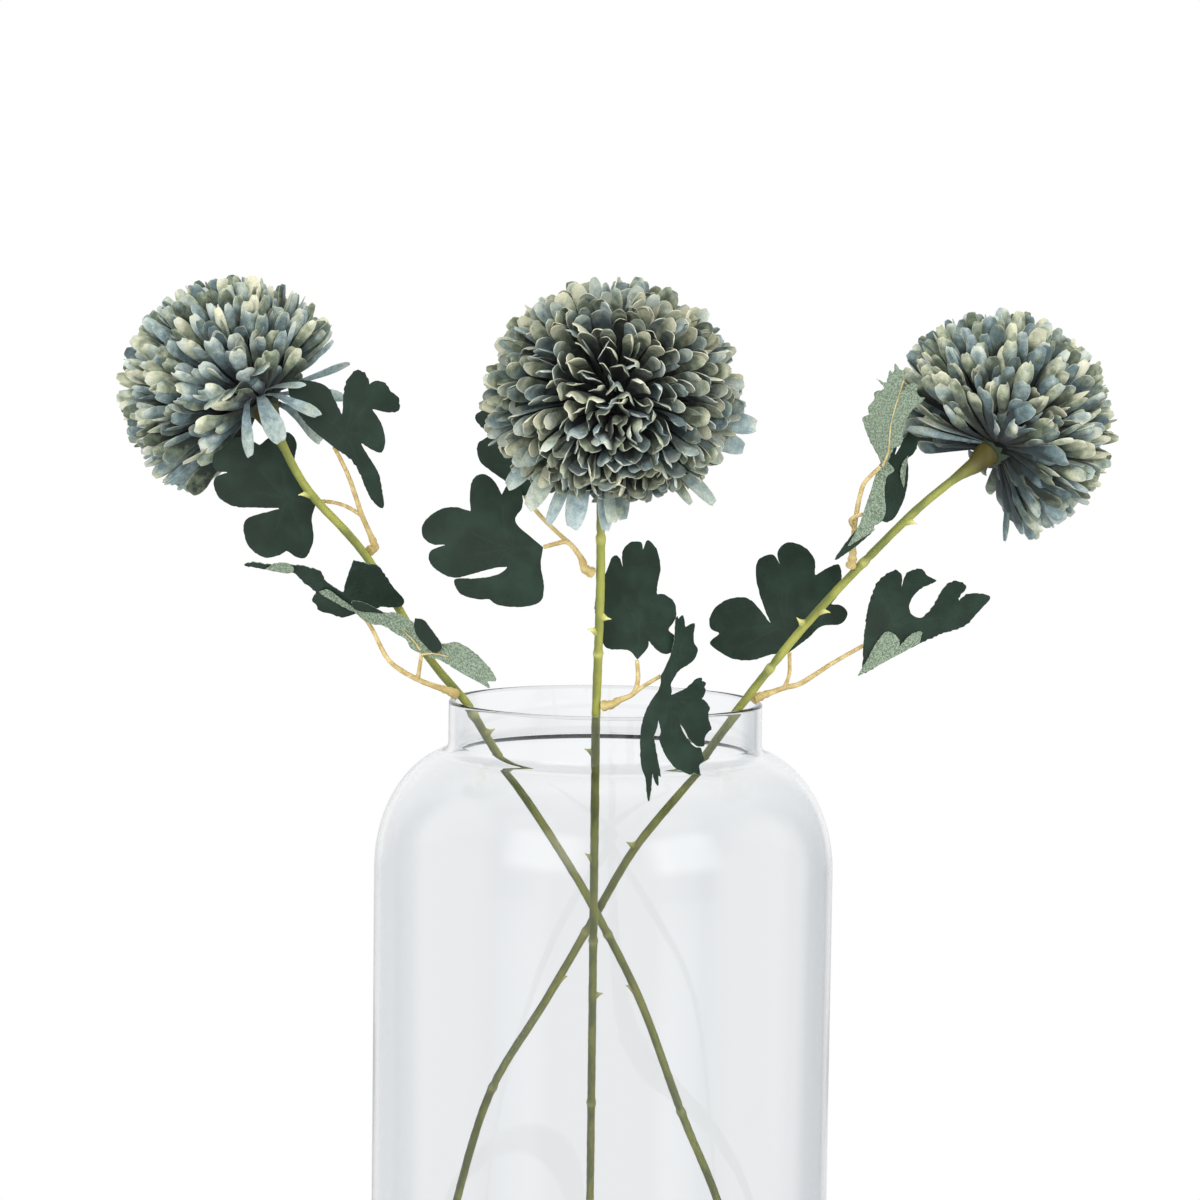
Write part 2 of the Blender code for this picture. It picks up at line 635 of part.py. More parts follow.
def ball_petals(flower):
    """The petals of the ball, spread evenly by the golden angle and fewer where the stem leaves."""
    centre, calyx = Vector(flower["centre"]), Vector(flower["calyx"])
    face, neck = unit(flower, "face"), unit(flower, "neck")
    turn = face.to_track_quat("Z", "Y")
    open_side = unit(flower, "open_side")
    open_side = (open_side - face * face.dot(open_side)).normalized()
    golden = math.pi * (3 - math.sqrt(5))
    widest = math.radians(flower["widest"])
    petals = []
    for i in range(PETAL_COUNT):
        share = ((i + 0.5) / PETAL_COUNT) ** CENTRE_CROWDING
        angle = math.acos(1 - share * (1 - math.cos(widest)))
        around = turn @ Vector((math.cos(i * golden), math.sin(i * golden), 0))
        openness = max(0.0, around.dot(open_side)) ** 3
        if angle > widest - math.radians(flower["missing"]) * openness:
            continue
        dimple = 0.12 * math.exp(-(angle / math.radians(26)) ** 2)
        reach = BALL_RADIUS * (1 - dimple + 0.02 * math.sin(i * 2.4))
        wide = min(angle + math.radians(16), math.radians(WIDEST_BEND))
        root = calyx + neck * (7 + 13 * (1 - angle / widest)) + around * 2
        bend = centre + (face * math.cos(wide) + around * math.sin(wide)) * BALL_RADIUS * 0.62
        tip = centre + (face * math.cos(angle) + around * math.sin(angle)) * reach
        petals.append(make_petal((root, bend, tip), face.cross(around), PETAL_HALF_WIDTH))
    return petals


def loose_petals(flower):
    """The few petals that hang free round the calyx."""
    neck = unit(flower, "neck")
    root = Vector(flower["calyx"]) + neck * 7
    petals = []
    for bend, tip in flower["loose"]:
        side = neck.cross(Vector(bend) - root).normalized()
        petals.append(make_petal((root, Vector(bend), Vector(tip)), side, LOOSE_HALF_WIDTH))
    return petals


def make_bloom(side, flower):
    """One pompon: a small core and the petals that stand out of it."""
    unite(make_core(side, flower), ball_petals(flower) + loose_petals(flower))


def twig_root(twig):
    """The twig's first two points: its root beside the stem, and a point straight out from there."""
    path = stem_path(FLOWERS[twig["flower"]])
    distance = distance_at_height(path, twig["height"])
    on_stem = point_at(path, distance)
    along = (point_at(path, distance + 2) - on_stem).normalized()
    away = (Vector(twig["main"][0]) - on_stem).normalized()
    lean = abs(away.dot(along))
    reach = (STEM_RADIUS + GAP + TWIG_ROOT_RADIUS * lean) / math.sqrt(1 - lean * lean)
    return [on_stem + away * reach, on_stem + away * (reach + 4)]


def resample(path, step):
    """Even points along a path, about a step apart."""
    total = lengths_along(path)[-1]
    count = max(2, round(total / step))
    return [point_at(path, total * i / count) for i in range(count + 1)]


def twig_radius(distance, total):
    """Twig radius: a thick root, then a slow taper."""
    root = max(0.0, 1 - distance / 9.0)
    taper = TWIG_NECK_RADIUS + (TWIG_TIP_RADIUS - TWIG_NECK_RADIUS) * distance / total
    return taper + (TWIG_ROOT_RADIUS - TWIG_NECK_RADIUS) * root


def make_twig(name, twig):
    """One forked twig: its main route and, joined to it, the side shoot."""
    main = resample(smooth_path(twig_root(twig) + twig["main"][1:], 5), TWIG_STEP)
    lengths = lengths_along(main)
    radii = [twig_radius(s, lengths[-1]) for s in lengths]
    body = add_object("twig_" + name, *tube(main, radii, TWIG_SIDES), "twig_plastic")
    fork = twig["main"][twig["fork"]]
    side = resample(smooth_path([fork] + twig["side"], 5), TWIG_STEP)
    shoot = add_object("shoot", *tube(side, [TWIG_TIP_RADIUS] * len(side), TWIG_SIDES), "twig_plastic")
    unite(body, [shoot])


def leaf_base(leaf):
    """The leaf's base: its sheet lies over the end of the twig, on the side that the twig points to."""
    twig = TWIGS[leaf["twig"]]
    route = twig["side"] if leaf["end"] else twig["main"]
    end = Vector(route[-1])
    along = (end - Vector(route[-2])).normalized()
    normal = leaf_normal(leaf, 0, 0)
    facing = along.dot(normal)
    reach = TWIG_TIP_RADIUS * math.sqrt(1 - facing * facing) + LEAF_THICKNESS / 2 + GAP
    return end + normal * (reach if facing > 0 else -reach)


def outline_points(outline, steps):
    """The leaf's outline as points: each lobe a smooth line from notch to notch."""
    points = []
    start = (0, 0)
    for lobe in outline:
        line = smooth_path([(*p, 0) for p in [start] + lobe], steps)
        points += [(p.x, p.y) for p in line[:-1]]
        start = lobe[-1]
    return points


def inside_points(points, spacing):
    """Grid points that lie inside an outline and keep half a step from it."""
    xs = [p[0] for p in points]
    zs = [p[1] for p in points]
    found = []
    for i in range(int((max(xs) - min(xs)) / spacing) + 1):
        for k in range(int((max(zs) - min(zs)) / spacing) + 1):
            spot = (min(xs) + (i + 0.5) * spacing, min(zs) + (k + 0.5) * spacing)
            if inside(spot, points) and min(math.dist(spot, p) for p in points) > spacing * 0.45:
                found.append(spot)
    return found


def inside(spot, points):
    """Whether a spot lies inside an outline, by counting crossings."""
    crossings = 0
    for (x1, z1), (x2, z2) in zip(points, points[1:] + points[:1]):
        if (z1 > spot[1]) != (z2 > spot[1]):
            crossings += spot[0] < x1 + (spot[1] - z1) * (x2 - x1) / (z2 - z1)
    return crossings % 2 == 1


def folded(x, z, y, folds):
    """Moves a point of the sheet round each fold that it lies beyond."""
    place = Vector((x, y, z))
    for (line_x, line_z), way, degrees, radius in folds:
        way = Vector(way).normalized()
        beyond = (x - line_x) * way.x + (z - line_z) * way.y
        if beyond > 0:
            angle = min(beyond / radius, math.radians(degrees))
            straight = beyond - radius * angle
            forward = radius * math.sin(angle) + straight * math.cos(angle) - beyond
            lift = radius * (1 - math.cos(angle)) + straight * math.sin(angle)
            place += Vector((way.x * forward, -lift, way.y * forward))
    return place


def leaf_point(leaf, x, z):
    """A point of the leaf's sheet in its own place: sloped, bent and folded."""
    slope, bend = leaf["slope"], leaf["bend"]
    depth = slope[0] * x + slope[1] * z + bend[0] * x * x + bend[1] * z * z + bend[2] * x * z
    return folded(x, z, depth, leaf["folds"]) * leaf["size"]


def leaf_normal(leaf, x, z):
    """Unit normal of the leaf's sheet on its -Y side."""
    step = 0.3
    across = leaf_point(leaf, x + step, z) - leaf_point(leaf, x - step, z)
    up = leaf_point(leaf, x, z + step) - leaf_point(leaf, x, z - step)
    return across.cross(up).normalized()


def make_leaf(name, leaf):
    """One lobed leaf: a thin sheet, split into the same triangles on both faces."""
    edge = outline_points(leaf["outline"], 1)
    flat = [Vector(p) for p in edge + inside_points(edge, LEAF_GRID)]
    count = len(edge)
    ring = list(range(count))
    points, _, cells = delaunay_2d_cdt(flat, [], [ring], 1, 1e-4)[:3]
    front = []
    back = []
    for p in points:
        centre = leaf_point(leaf, p.x, p.y)
        half = leaf_normal(leaf, p.x, p.y) * (LEAF_THICKNESS / 2)
        front.append(centre + half)
        back.append(centre - half)
    shift = len(points)
    faces = [list(f) for f in cells] + [[i + shift for i in reversed(f)] for f in cells]
    faces += rim_faces(cells, shift)
    sheet = add_object("leaf_" + name, front + back, faces, "leaf_fabric")
    sheet.location = leaf_base(leaf) * MM


def rim_faces(cells, shift):
    """Triangles that join the two faces of a sheet round its edge."""
    sides = [(f[i], f[(i + 1) % len(f)]) for f in cells for i in range(len(f))]
    present = set(sides)
    faces = []
    for a, b in sides:
        if (b, a) not in present:
            faces += [[b, a, a + shift], [b, a + shift, b + shift]]
    return faces


def main():
    """Builds the whole arrangement."""
    clear_scene()
    make_bottle()
    for side, flower in FLOWERS.items():
        make_stem(side, flower)
        make_calyx(side, flower)
        make_bloom(side, flower)
    for name, twig in TWIGS.items():
        make_twig(name, twig)
    for name, leaf in LEAVES.items():
        make_leaf(name, leaf)


main()
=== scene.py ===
"""Looks of the fabric chrysanthemums in their glass bottle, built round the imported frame.

Sizes and points are millimetres, and add_piece turns them into metres. The tables of flowers, twigs and
leaves say the same as the construction script's.
"""

import math
import random

import bpy
import numpy as np
from mathutils import Matrix, Vector, noise
from mathutils.geometry import delaunay_2d_cdt


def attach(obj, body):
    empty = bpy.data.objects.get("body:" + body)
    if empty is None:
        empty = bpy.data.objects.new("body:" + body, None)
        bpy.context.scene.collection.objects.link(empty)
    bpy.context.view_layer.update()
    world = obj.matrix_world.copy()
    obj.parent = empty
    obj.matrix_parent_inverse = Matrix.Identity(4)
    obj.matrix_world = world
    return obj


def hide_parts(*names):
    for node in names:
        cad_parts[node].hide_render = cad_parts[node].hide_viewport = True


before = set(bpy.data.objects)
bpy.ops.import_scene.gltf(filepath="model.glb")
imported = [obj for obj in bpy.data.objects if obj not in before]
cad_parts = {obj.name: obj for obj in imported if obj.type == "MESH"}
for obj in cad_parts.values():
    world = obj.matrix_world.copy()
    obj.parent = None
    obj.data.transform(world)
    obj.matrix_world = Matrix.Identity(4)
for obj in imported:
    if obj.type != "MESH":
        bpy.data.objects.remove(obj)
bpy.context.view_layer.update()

MM = 0.001
GAP = 0.3

# Bottle
BOTTLE_HEIGHT = 335.0
BODY_RADIUS = 100.0
NECK_RADIUS = 68.3
WALL = 3.0
FLOOR = 5.0
FOOT_ROUND = 14.0
SHOULDER_START = 262.0
SHOULDER_REACH = 38.9
SHOULDER_RISE = 52.5
NECK_FILLET = 4.0
LIP_ROUND = 1.2
BOTTLE_SIDES = 160
# The round corner under the neck: its first guess in degrees, and how often it is made better
CORNER_GUESS = 250.0
CORNER_ROUNDS = 6

# Stems, with a thorn's spots and radii and a sepal's spots and half widths along their length
STEM_RADIUS = 1.8
STEM_SIDES = 18
STEM_STEP = 1.6
TRUMPET_RADIUS = 5.6
TRUMPET_LENGTH = 22.0
TRUMPET_BROWN = 1.6
TRUMPET_CURVE = 1.4
RING_SWELL = 0.45
RING_WIDTH = 1.5
RING_PALE = 0.5
RING_PALE_WIDTH = 1.2
NICK_DEPTH = 0.28
NICK_WIDTH = 0.7
NICK_PLACE = 2.4
STEM_UNEVEN = 0.10
STEM_WAVE = 0.08
STEM_SKIN = 0.07
SKIN_GRAIN = 0.35
THORN_LENGTH = 5.4
THORN_SIDES = 10
THORN_FORWARD = 0.35
THORN_HOOK = 0.81
THORN_SPREAD = 0.7
THORN_SPOTS = (0.15, 0.35, 0.5, 0.65, 0.8, 0.92, 1.0)
THORN_RADII = (1.6, 1.15, 0.8, 0.52, 0.34, 0.19, 0.05)
CALYX_THICKNESS = 1.0
CALYX_RADIUS = 6.6
CALYX_TOP_RADIUS = 5.0
CALYX_TOP = 0.4
CALYX_SIDES = 24
SEPAL_ROOT = 4.5
SEPAL_THICKNESS = 0.5
SEPAL_SPOTS = (0.0, 0.3, 0.6, 0.85, 1.0)
SEPAL_HALVES = (2.1, 2.2, 1.6, 0.8, 0.15)
# How many sepals each ring has, and how long its longest can be
SEPAL_RINGS = ((7, 9.8), (6, 8.0))
SEPAL_LEVELS = (-0.9, -0.4)
SEPAL_LIFT = 0.3

# Blooms, with angles in degrees from the way that the bloom faces
BALL_RADIUS = 50.0
CORE_RADIUS = 13.0
CORE_DEPTH = 2.0
CORE_SIDES = 32
PETAL_COUNT = 620
SHORT_PETALS = 46
SHORT_PETAL_LIMIT = 100.0
SHORT_ROOT_DEPTH = 4.0
LOOSE_ROOT_DEPTH = 5.0
CENTRE_CROWDING = 0.97
RUFFLED_ANGLE = 30.0
DIMPLE_ANGLE = 24.0
DIMPLE_DEPTH = 0.13
WIDEST_BEND = 126.0
BEND_REACH = 0.62
ROOT_DEPTH = 6.0
ROOT_SPAN = 13.0
ROOT_SPREAD = 2.5
RUFFLED_ROOT = 22.0
# Painted shade that darkens the petals near the middle of the bloom's face, where they crowd round the
# dimple
CENTRE_PAINTED_SHADE = 0.17
# How unevenly the petals stand, in radians round and out from the face, then the mean and spread of how much
# further than the ball a petal reaches, as a share of its radius, and of how many degrees it leans outwards
TURN_SCATTER = 0.05
ANGLE_SCATTER = 0.035
REACH_SCATTER = (-0.01, 0.035)
MOST_REACH = 0.03
PETAL_LEAN = (9, 6)
# A share of the petals is narrow and pointed, and those that hang below the ball are paler
NARROW_SHARE = 0.07
NARROW_WIDTH = 0.6
NARROW_END = {"shoulder": 0.6, "blunt": 1.9}
HANGING_SLOPE = 0.62
HANGING_ANGLE = 62.0
HANGING_PALE = 4.0
MOST_PALE = 0.8
LOOSE_END = {"shoulder": 0.84, "blunt": 0.8}
PETAL_HALF_WIDTH = 3.5
PETAL_THICKNESS = 0.22
PETAL_RINGS = (0.0, 0.25, 0.47, 0.64, 0.76, 0.85, 0.91, 0.955, 0.985, 1.0)
PETAL_COLUMNS = 7
PETAL_WIDEST = 0.84
PETAL_FOOT_WIDTH = 0.24
PETAL_END = 1.012
HOOD_START = 0.6
LEVEL_HOOD = 2.0
WAVE_TURN = 9.0
FOLD_TURN = 2.2

# Twigs and leaves
TWIG_SIDES = 12
TWIG_STEP = 0.9
TWIG_ROOT_RADIUS = 2.3
TWIG_ROOT_LENGTH = 10.0
TWIG_BROWN_LENGTH = 12.0
TWIG_SKIN = 0.10
TWIG_LEAD = 4.0
FORK_SWELL = 0.35
TWIG_NECK_RADIUS = 1.3
TWIG_TIP_RADIUS = 0.85
KNUCKLE_SWELL = 0.22
KNUCKLE_TURN = 2.1
LEAF_THICKNESS = 0.4
CAD_LEAF_THICKNESS = 0.8
LEAF_GRID = 2.4
VEIN_HALF_WIDTH = 0.6
VEIN_DEPTH = 0.12
VEIN_REACH = 0.6
VEIN_STEP = 1.3
LEAST_VEIN = 10.0
VEIN_CLEARANCE = 0.8
EDGE_CLEARANCE = 0.7
SPOT_GAP = 0.55
VEIN_LOOK_WIDTH = 0.45
# Each leaf's own place in the noise, and each crumple's height and how often it comes in a millimetre
SEED_STEP = 7.3
CRUMPLES = ((0.55, 0.10), (0.22, 0.3))
CRUMPLE_FADE = 6.0
# The cut edge: its teeth drift along it and come in patches, and near the leaf's base it is calm
TOOTH_STEP = 3.4
TOOTH_DRIFT = 0.8
TOOTH_DRIFT_OFTEN = 0.2
TOOTH_PATCH_OFTEN = 0.08
EDGE_STEP = 1.1
EDGE_SCATTER = 0.06
CALM_LENGTH = 8.0
CURVE_STEPS = 4
FLAP_TEETH = 0.4
FLAP_GAP = 0.1
FLAP_LIFT = 0.22
FLAP_CURL = 14.0
RIB_RADIUS = 0.55
RIB_SIDES = 8
RIB_LIFT = 0.2
RIB_TAPER = 0.7

# Looks: edges sharper than so many degrees stay sharp, how far grain makes a surface rougher, and the dyes
# of the petals in display colours from a petal's foot to its tip. Their dark first stops are painted shade
# at the foot, where the petals crowd together in the ball.
SHARP_ANGLE = 50.0
ROUGH_SPREAD = 0.2
DYE_AND_SHADE_STOPS = (0.0, 0.5, 0.72, 0.87, 1.0)
SAGE_DYE_AND_SHADE = ((12, 16, 13), (38, 45, 38), (98, 107, 90), (158, 163, 140), (200, 198, 175))
SLATE_DYE_AND_SHADE = ((12, 18, 20), (42, 54, 57), (90, 107, 111), (140, 155, 155), (184, 191, 183))

# Floor, in metres: it lies a little under the bottle
FLOOR_RADIUS = 0.4
FLOOR_SIDES = 64
FLOOR_DROP = 0.0005

# Camera: the photograph's viewpoint, fitted to the bottle's rim and shoulders
CAMERA_PLACE = (-3.0, -1250.0, 465.0)
CAMERA_DOWN = 3.95
CAMERA_ROLL = 0.75
CAMERA_LENS = 86.46
SENSOR_WIDTH = 36.0

# The studio as the glass sees it: its colour in front, and its tints. Each tint has a colour and one or two
# ramps, each an axis of the direction with where the ramp begins and where it is full. The tints are paler
# sides, white behind, dark above, blue-grey at the right and light grey at the left. The last two fade out
# before they reach straight right or left, so the glass is clear from the side too. Cloth gets an even glow.
STUDIO_FRONT = (0.78, 0.785, 0.79, 1)
STUDIO_TINTS = (
    ((("Y", -0.7, 0.5),), (0.85, 0.855, 0.865, 1)),
    ((("Y", 0.5, 0.9), ("Z", -0.15, -0.09)), (0.98, 0.985, 0.99, 1)),
    ((("Z", 0.25, 0.85),), (0.30, 0.31, 0.32, 1)),
    ((("X", 0.36, 0.76), ("X", 0.90, 0.80)), (0.14, 0.20, 0.24, 1)),
    ((("X", -0.46, -0.80), ("X", -0.92, -0.82)), (0.52, 0.54, 0.57, 1)),
)
STUDIO_GLOW = (0.95, 0.955, 0.96, 1)
WHITE = (1, 1, 1, 1)

# Each soft light: its place and the point that it lights, in metres, its size, its watts, and whether it
# shows through the glass and as a mirror image in it. The two cards are low, and the bottle mirrors them.
LIGHTS = {
    "key": ((-0.95, -1.55, 1.15), (0, 0, 0.42), (1.9, 1.4), 26, True, False),
    "fill": ((1.25, -1.35, 1.05), (0, 0, 0.42), (1.7, 1.3), 22, True, False),
    "front": ((-0.1, -1.9, 0.75), (0, 0, 0.42), (2.2, 1.2), 44, False, False),
    "back": ((0.3, 1.7, 1.2), (0, 0, 0.45), (2.2, 1.2), 65, False, False),
    "left": ((-1.9, 0.7, 0.7), (-0.1, 0, 0.45), (1.4, 1.0), 32, False, False),
    "right": ((1.9, 0.7, 0.7), (0.1, 0, 0.45), (1.4, 1.0), 32, False, False),
    "left_card": ((-1.10, -1.18, -0.23), (0, 0, -0.10), (1.0, 0.72), 1.0, True, True),
    "right_card": ((1.11, -1.16, -0.23), (0, 0, -0.10), (1.2, 0.72), 1.4, True, True),
}
LIGHT_FADE_START = 0.2

# Leaves whose pale underside is turned to -Y
PALE_IN_FRONT = ("left_lower_2", "right_upper_1")

# Each flower: the ball's centre and the way it faces, the calyx and the trumpet's direction, how far round
# the ball its petals go (pairs of a direction round the face, counted from the side turned to -Y, and the
# angle from the face out to the last petals), how much the ball is flattened at its top and at its bottom,
# how much painted shade darkens its petals, each loose petal's bend, tip, half width and lightness, and the
# stem's route from the trumpet down to the floor
FLOWERS = {
    "left": {
        "centre": (-161, -4, 467),
        "face": (-0.58, 0.55, 0.60),
        "calyx": (-147, -19, 460),
        "neck": (-0.42, 0.50, 0.76),
        "reach": (
            (-180, 66), (-140, 80), (-112, 104), (-85, 114), (0, 120), (60, 113), (98, 104), (130, 84),
            (180, 66),
        ),
        "flat": (0.0, 0.0),
        "painted_shade": 0.09,
        "loose": [
            ((-155, -42, 470), (-151, -36, 440), 2.8, 0.8),
            ((-147, -46, 470), (-139.5, -38, 446.5), 4.9, 0.9),
            ((-138, -8, 464), (-124, -20, 446), 3.8, 0.8), ((-144, -44, 470), (-125, -36, 457), 3.9, 0.7),
            ((-146, -38, 471), (-129, -38, 468.5), 3.8, 0.6),
            ((-131.5, -12.5, 473), (-111, -12, 477), 3.3, 0.8),
            ((-134, -9, 469.5), (-115, -12, 463), 3.0, 0.8), ((-160, -50, 472), (-166, -50, 460), 4.4, 0.5),
            ((-154, -51, 475), (-158, -52, 464), 4.4, 0.2), ((-152, -48, 478), (-142, -52, 476), 4.4, 0.1),
        ],
        "route": [
            (-139, -28, 446), (-127, -27, 425), (-103, -24, 398), (-77, -21, 356), (-59, -18, 334),
            (-48, -16, 316), (-19, -9, 270), (-3, -1.5, 242), (17, 5, 202), (36, 11, 151), (53, 15, 110),
            (70, 20, 55), (77, 22, 18),
        ],
        "foot": (78, 22),
        "rings": (392, 330, 232, 151),
        "thorns": ((424, -1, -0.3), (322, 1, 0.3), (206, -1, 0.4)),
    },
    "middle": {
        "centre": (1, -150, 465),
        "face": (0.0, -0.972, -0.235),
        "calyx": (1, -128.4, 469.4),
        "neck": (0.0, -0.98, -0.20),
        "reach": ((-180, 118), (180, 118)),
        "flat": (0.07, 0.24),
        "painted_shade": 0.0,
        "loose": [
            ((-14, -156, 452), (-31, -153, 424), 4.2, 0.6), ((-10, -155, 450), (-23, -150, 418), 2.6, 0.8),
            ((-8, -159, 450), (-14.5, -152, 417), 4.9, 0.9), ((-2, -155, 450), (-2.2, -149, 416), 3.4, 0.8),
            ((1, -158, 450), (2.5, -152, 419.5), 3.4, 0.6), ((5, -160, 452), (7, -156, 421), 3.8, 0.2),
            ((16, -156, 452), (39, -152, 426), 2.9, 0.7), ((14, -154, 450), (31, -149, 426.5), 2.0, 0.1),
            ((-18, -152, 455), (-39, -150, 432), 3.8, 0.6), ((30, -162, 460), (54, -150, 458), 4.4, 0.5),
            ((28, -158, 456), (50, -148, 448), 4.0, 0.45),
        ],
        "route": [
            (-1, -105, 462), (-3, -100, 440), (-3, -97, 415), (-3, -85, 385), (-4, -63, 335),
            (-4, -42, 297), (-4, -16, 244), (-4, 8, 201), (-4, 34, 150), (-4, 58, 97), (-4, 76, 45),
            (-4, 80, 15),
        ],
        "foot": (-4, 80),
        "rings": (410, 362, 231, 149),
        "thorns": ((378, 1, -0.4), (371, -1, 0.1), (318, -1, 0.3), (269, -1, 0.5), (203, 1, 0.2)),
    },
    "right": {
        "centre": (167.5, -6, 456.5),
        "face": (0.33, 0.60, 0.73),
        "calyx": (162, -22, 445.5),
        "neck": (0.68, 0.50, 0.54),
        "reach": (
            (-180, 74), (-158, 68), (-125, 96), (-106, 115), (-50, 116), (0, 115), (60, 124), (105, 132),
            (134, 131), (150, 104), (180, 74),
        ),
        "flat": (0.0, 0.0),
        "painted_shade": 0.08,
        "loose": [
            ((173.5, -9.5, 430.5), (170.5, -9, 407), 2.6, 0.0),
            ((175, -11.5, 430), (184, -4, 406.5), 2.8, 0.2), ((172, -7.5, 431), (177, 2, 416), 2.6, 0.0),
            ((173, -30, 434), (183, -24, 418), 3.4, 0.0), ((176, -36, 442), (189, -32, 428), 4.4, 0.0),
            ((176, -42, 447), (190, -46, 443), 4.6, 0.0), ((171, -44, 452), (183, -52, 455), 4.6, 0.0),
            ((164, -44, 456), (171, -54, 465), 4.4, 0.0), ((158, -42, 458), (154, -52, 471), 4.2, 0.0),
            ((152, -38, 456), (139, -48, 473), 3.6, 0.0), ((150, -32, 452), (130, -33, 459), 3.4, 0.5),
            ((150, -30, 450), (127, -28, 453), 3.2, 0.7), ((150, -26, 453.5), (128, -22, 456), 2.8, 0.4),
        ],
        "route": [
            (145, -29, 433), (129, -28, 419), (105, -27, 394), (83, -26, 369), (61, -23, 340),
            (49, -20, 323), (33, -13, 298), (13, -5, 270), (-3, 4.5, 240), (-25, 9, 200), (-49, 14, 158),
            (-64, 18, 107), (-75, 22, 55), (-78, 24, 18),
        ],
        "foot": (-78, 24),
        "rings": (398, 352, 232, 160),
        "thorns": ((416, 1, -0.5), (377, 1, -0.3), (371, -1, 0.6), (272, -1, 0.3), (209, 1, 0.4)),
    },
}

# Each twig: the height where it leaves its stem, its route to the first leaf (whose first point only says
# which way it leaves), and the route of the side shoot to the second leaf, which starts at the point
# numbered in "fork"
TWIGS = {
    "left_upper": {
        "flower": "left",
        "height": 398,
        "main": [
            (-100, -20.5, 402), (-105, -21, 415), (-110, -23, 430), (-114, -25, 439), (-116.5, -27, 444),
        ],
        "fork": 1,
        "side": [(-113, -17, 419), (-121, -14, 420.5), (-125, -13, 420)],
    },
    "left_lower": {
        "flower": "left",
        "height": 337,
        "main": [(-69, -28, 342), (-80, -31, 346), (-92, -33, 354), (-99, -34, 367), (-104, -34, 374)],
        "fork": 1,
        "side": [(-79, -34, 352), (-78, -36, 358)],
    },
    "middle_upper": {
        "flower": "middle",
        "height": 394,
        "main": [(-8, -92, 397), (-11, -92, 402), (-16, -92, 408), (-21, -92, 407.5), (-26, -92, 406)],
        "fork": 2,
        "side": [(-24, -88, 415), (-30, -83, 421), (-34, -80, 426)],
    },
    "middle_lower": {
        "flower": "middle",
        "height": 339,
        "main": [(1, -67.5, 340), (5, -69, 342), (11, -70, 345), (13, -71, 351), (12.5, -72, 359)],
        "fork": 2,
        "side": [(16, -73, 349), (22, -76, 353)],
    },
    "right_upper": {
        "flower": "right",
        "height": 391,
        "main": [
            (104, -32, 402), (104, -34, 413), (105, -36, 422), (107, -37, 431), (110, -38, 435),
            (114, -39, 439),
        ],
        "fork": 1,
        "side": [(102, -36, 416), (104, -38, 418), (107, -39, 419)],
    },
    "right_lower": {
        "flower": "right",
        "height": 337,
        "main": [(71, -17, 341), (77, -15, 343), (84, -15, 345), (97, -18, 354), (110, -20, 362)],
        "fork": 1,
        "side": [(79, -13, 349), (79, -12, 358)],
    },
}

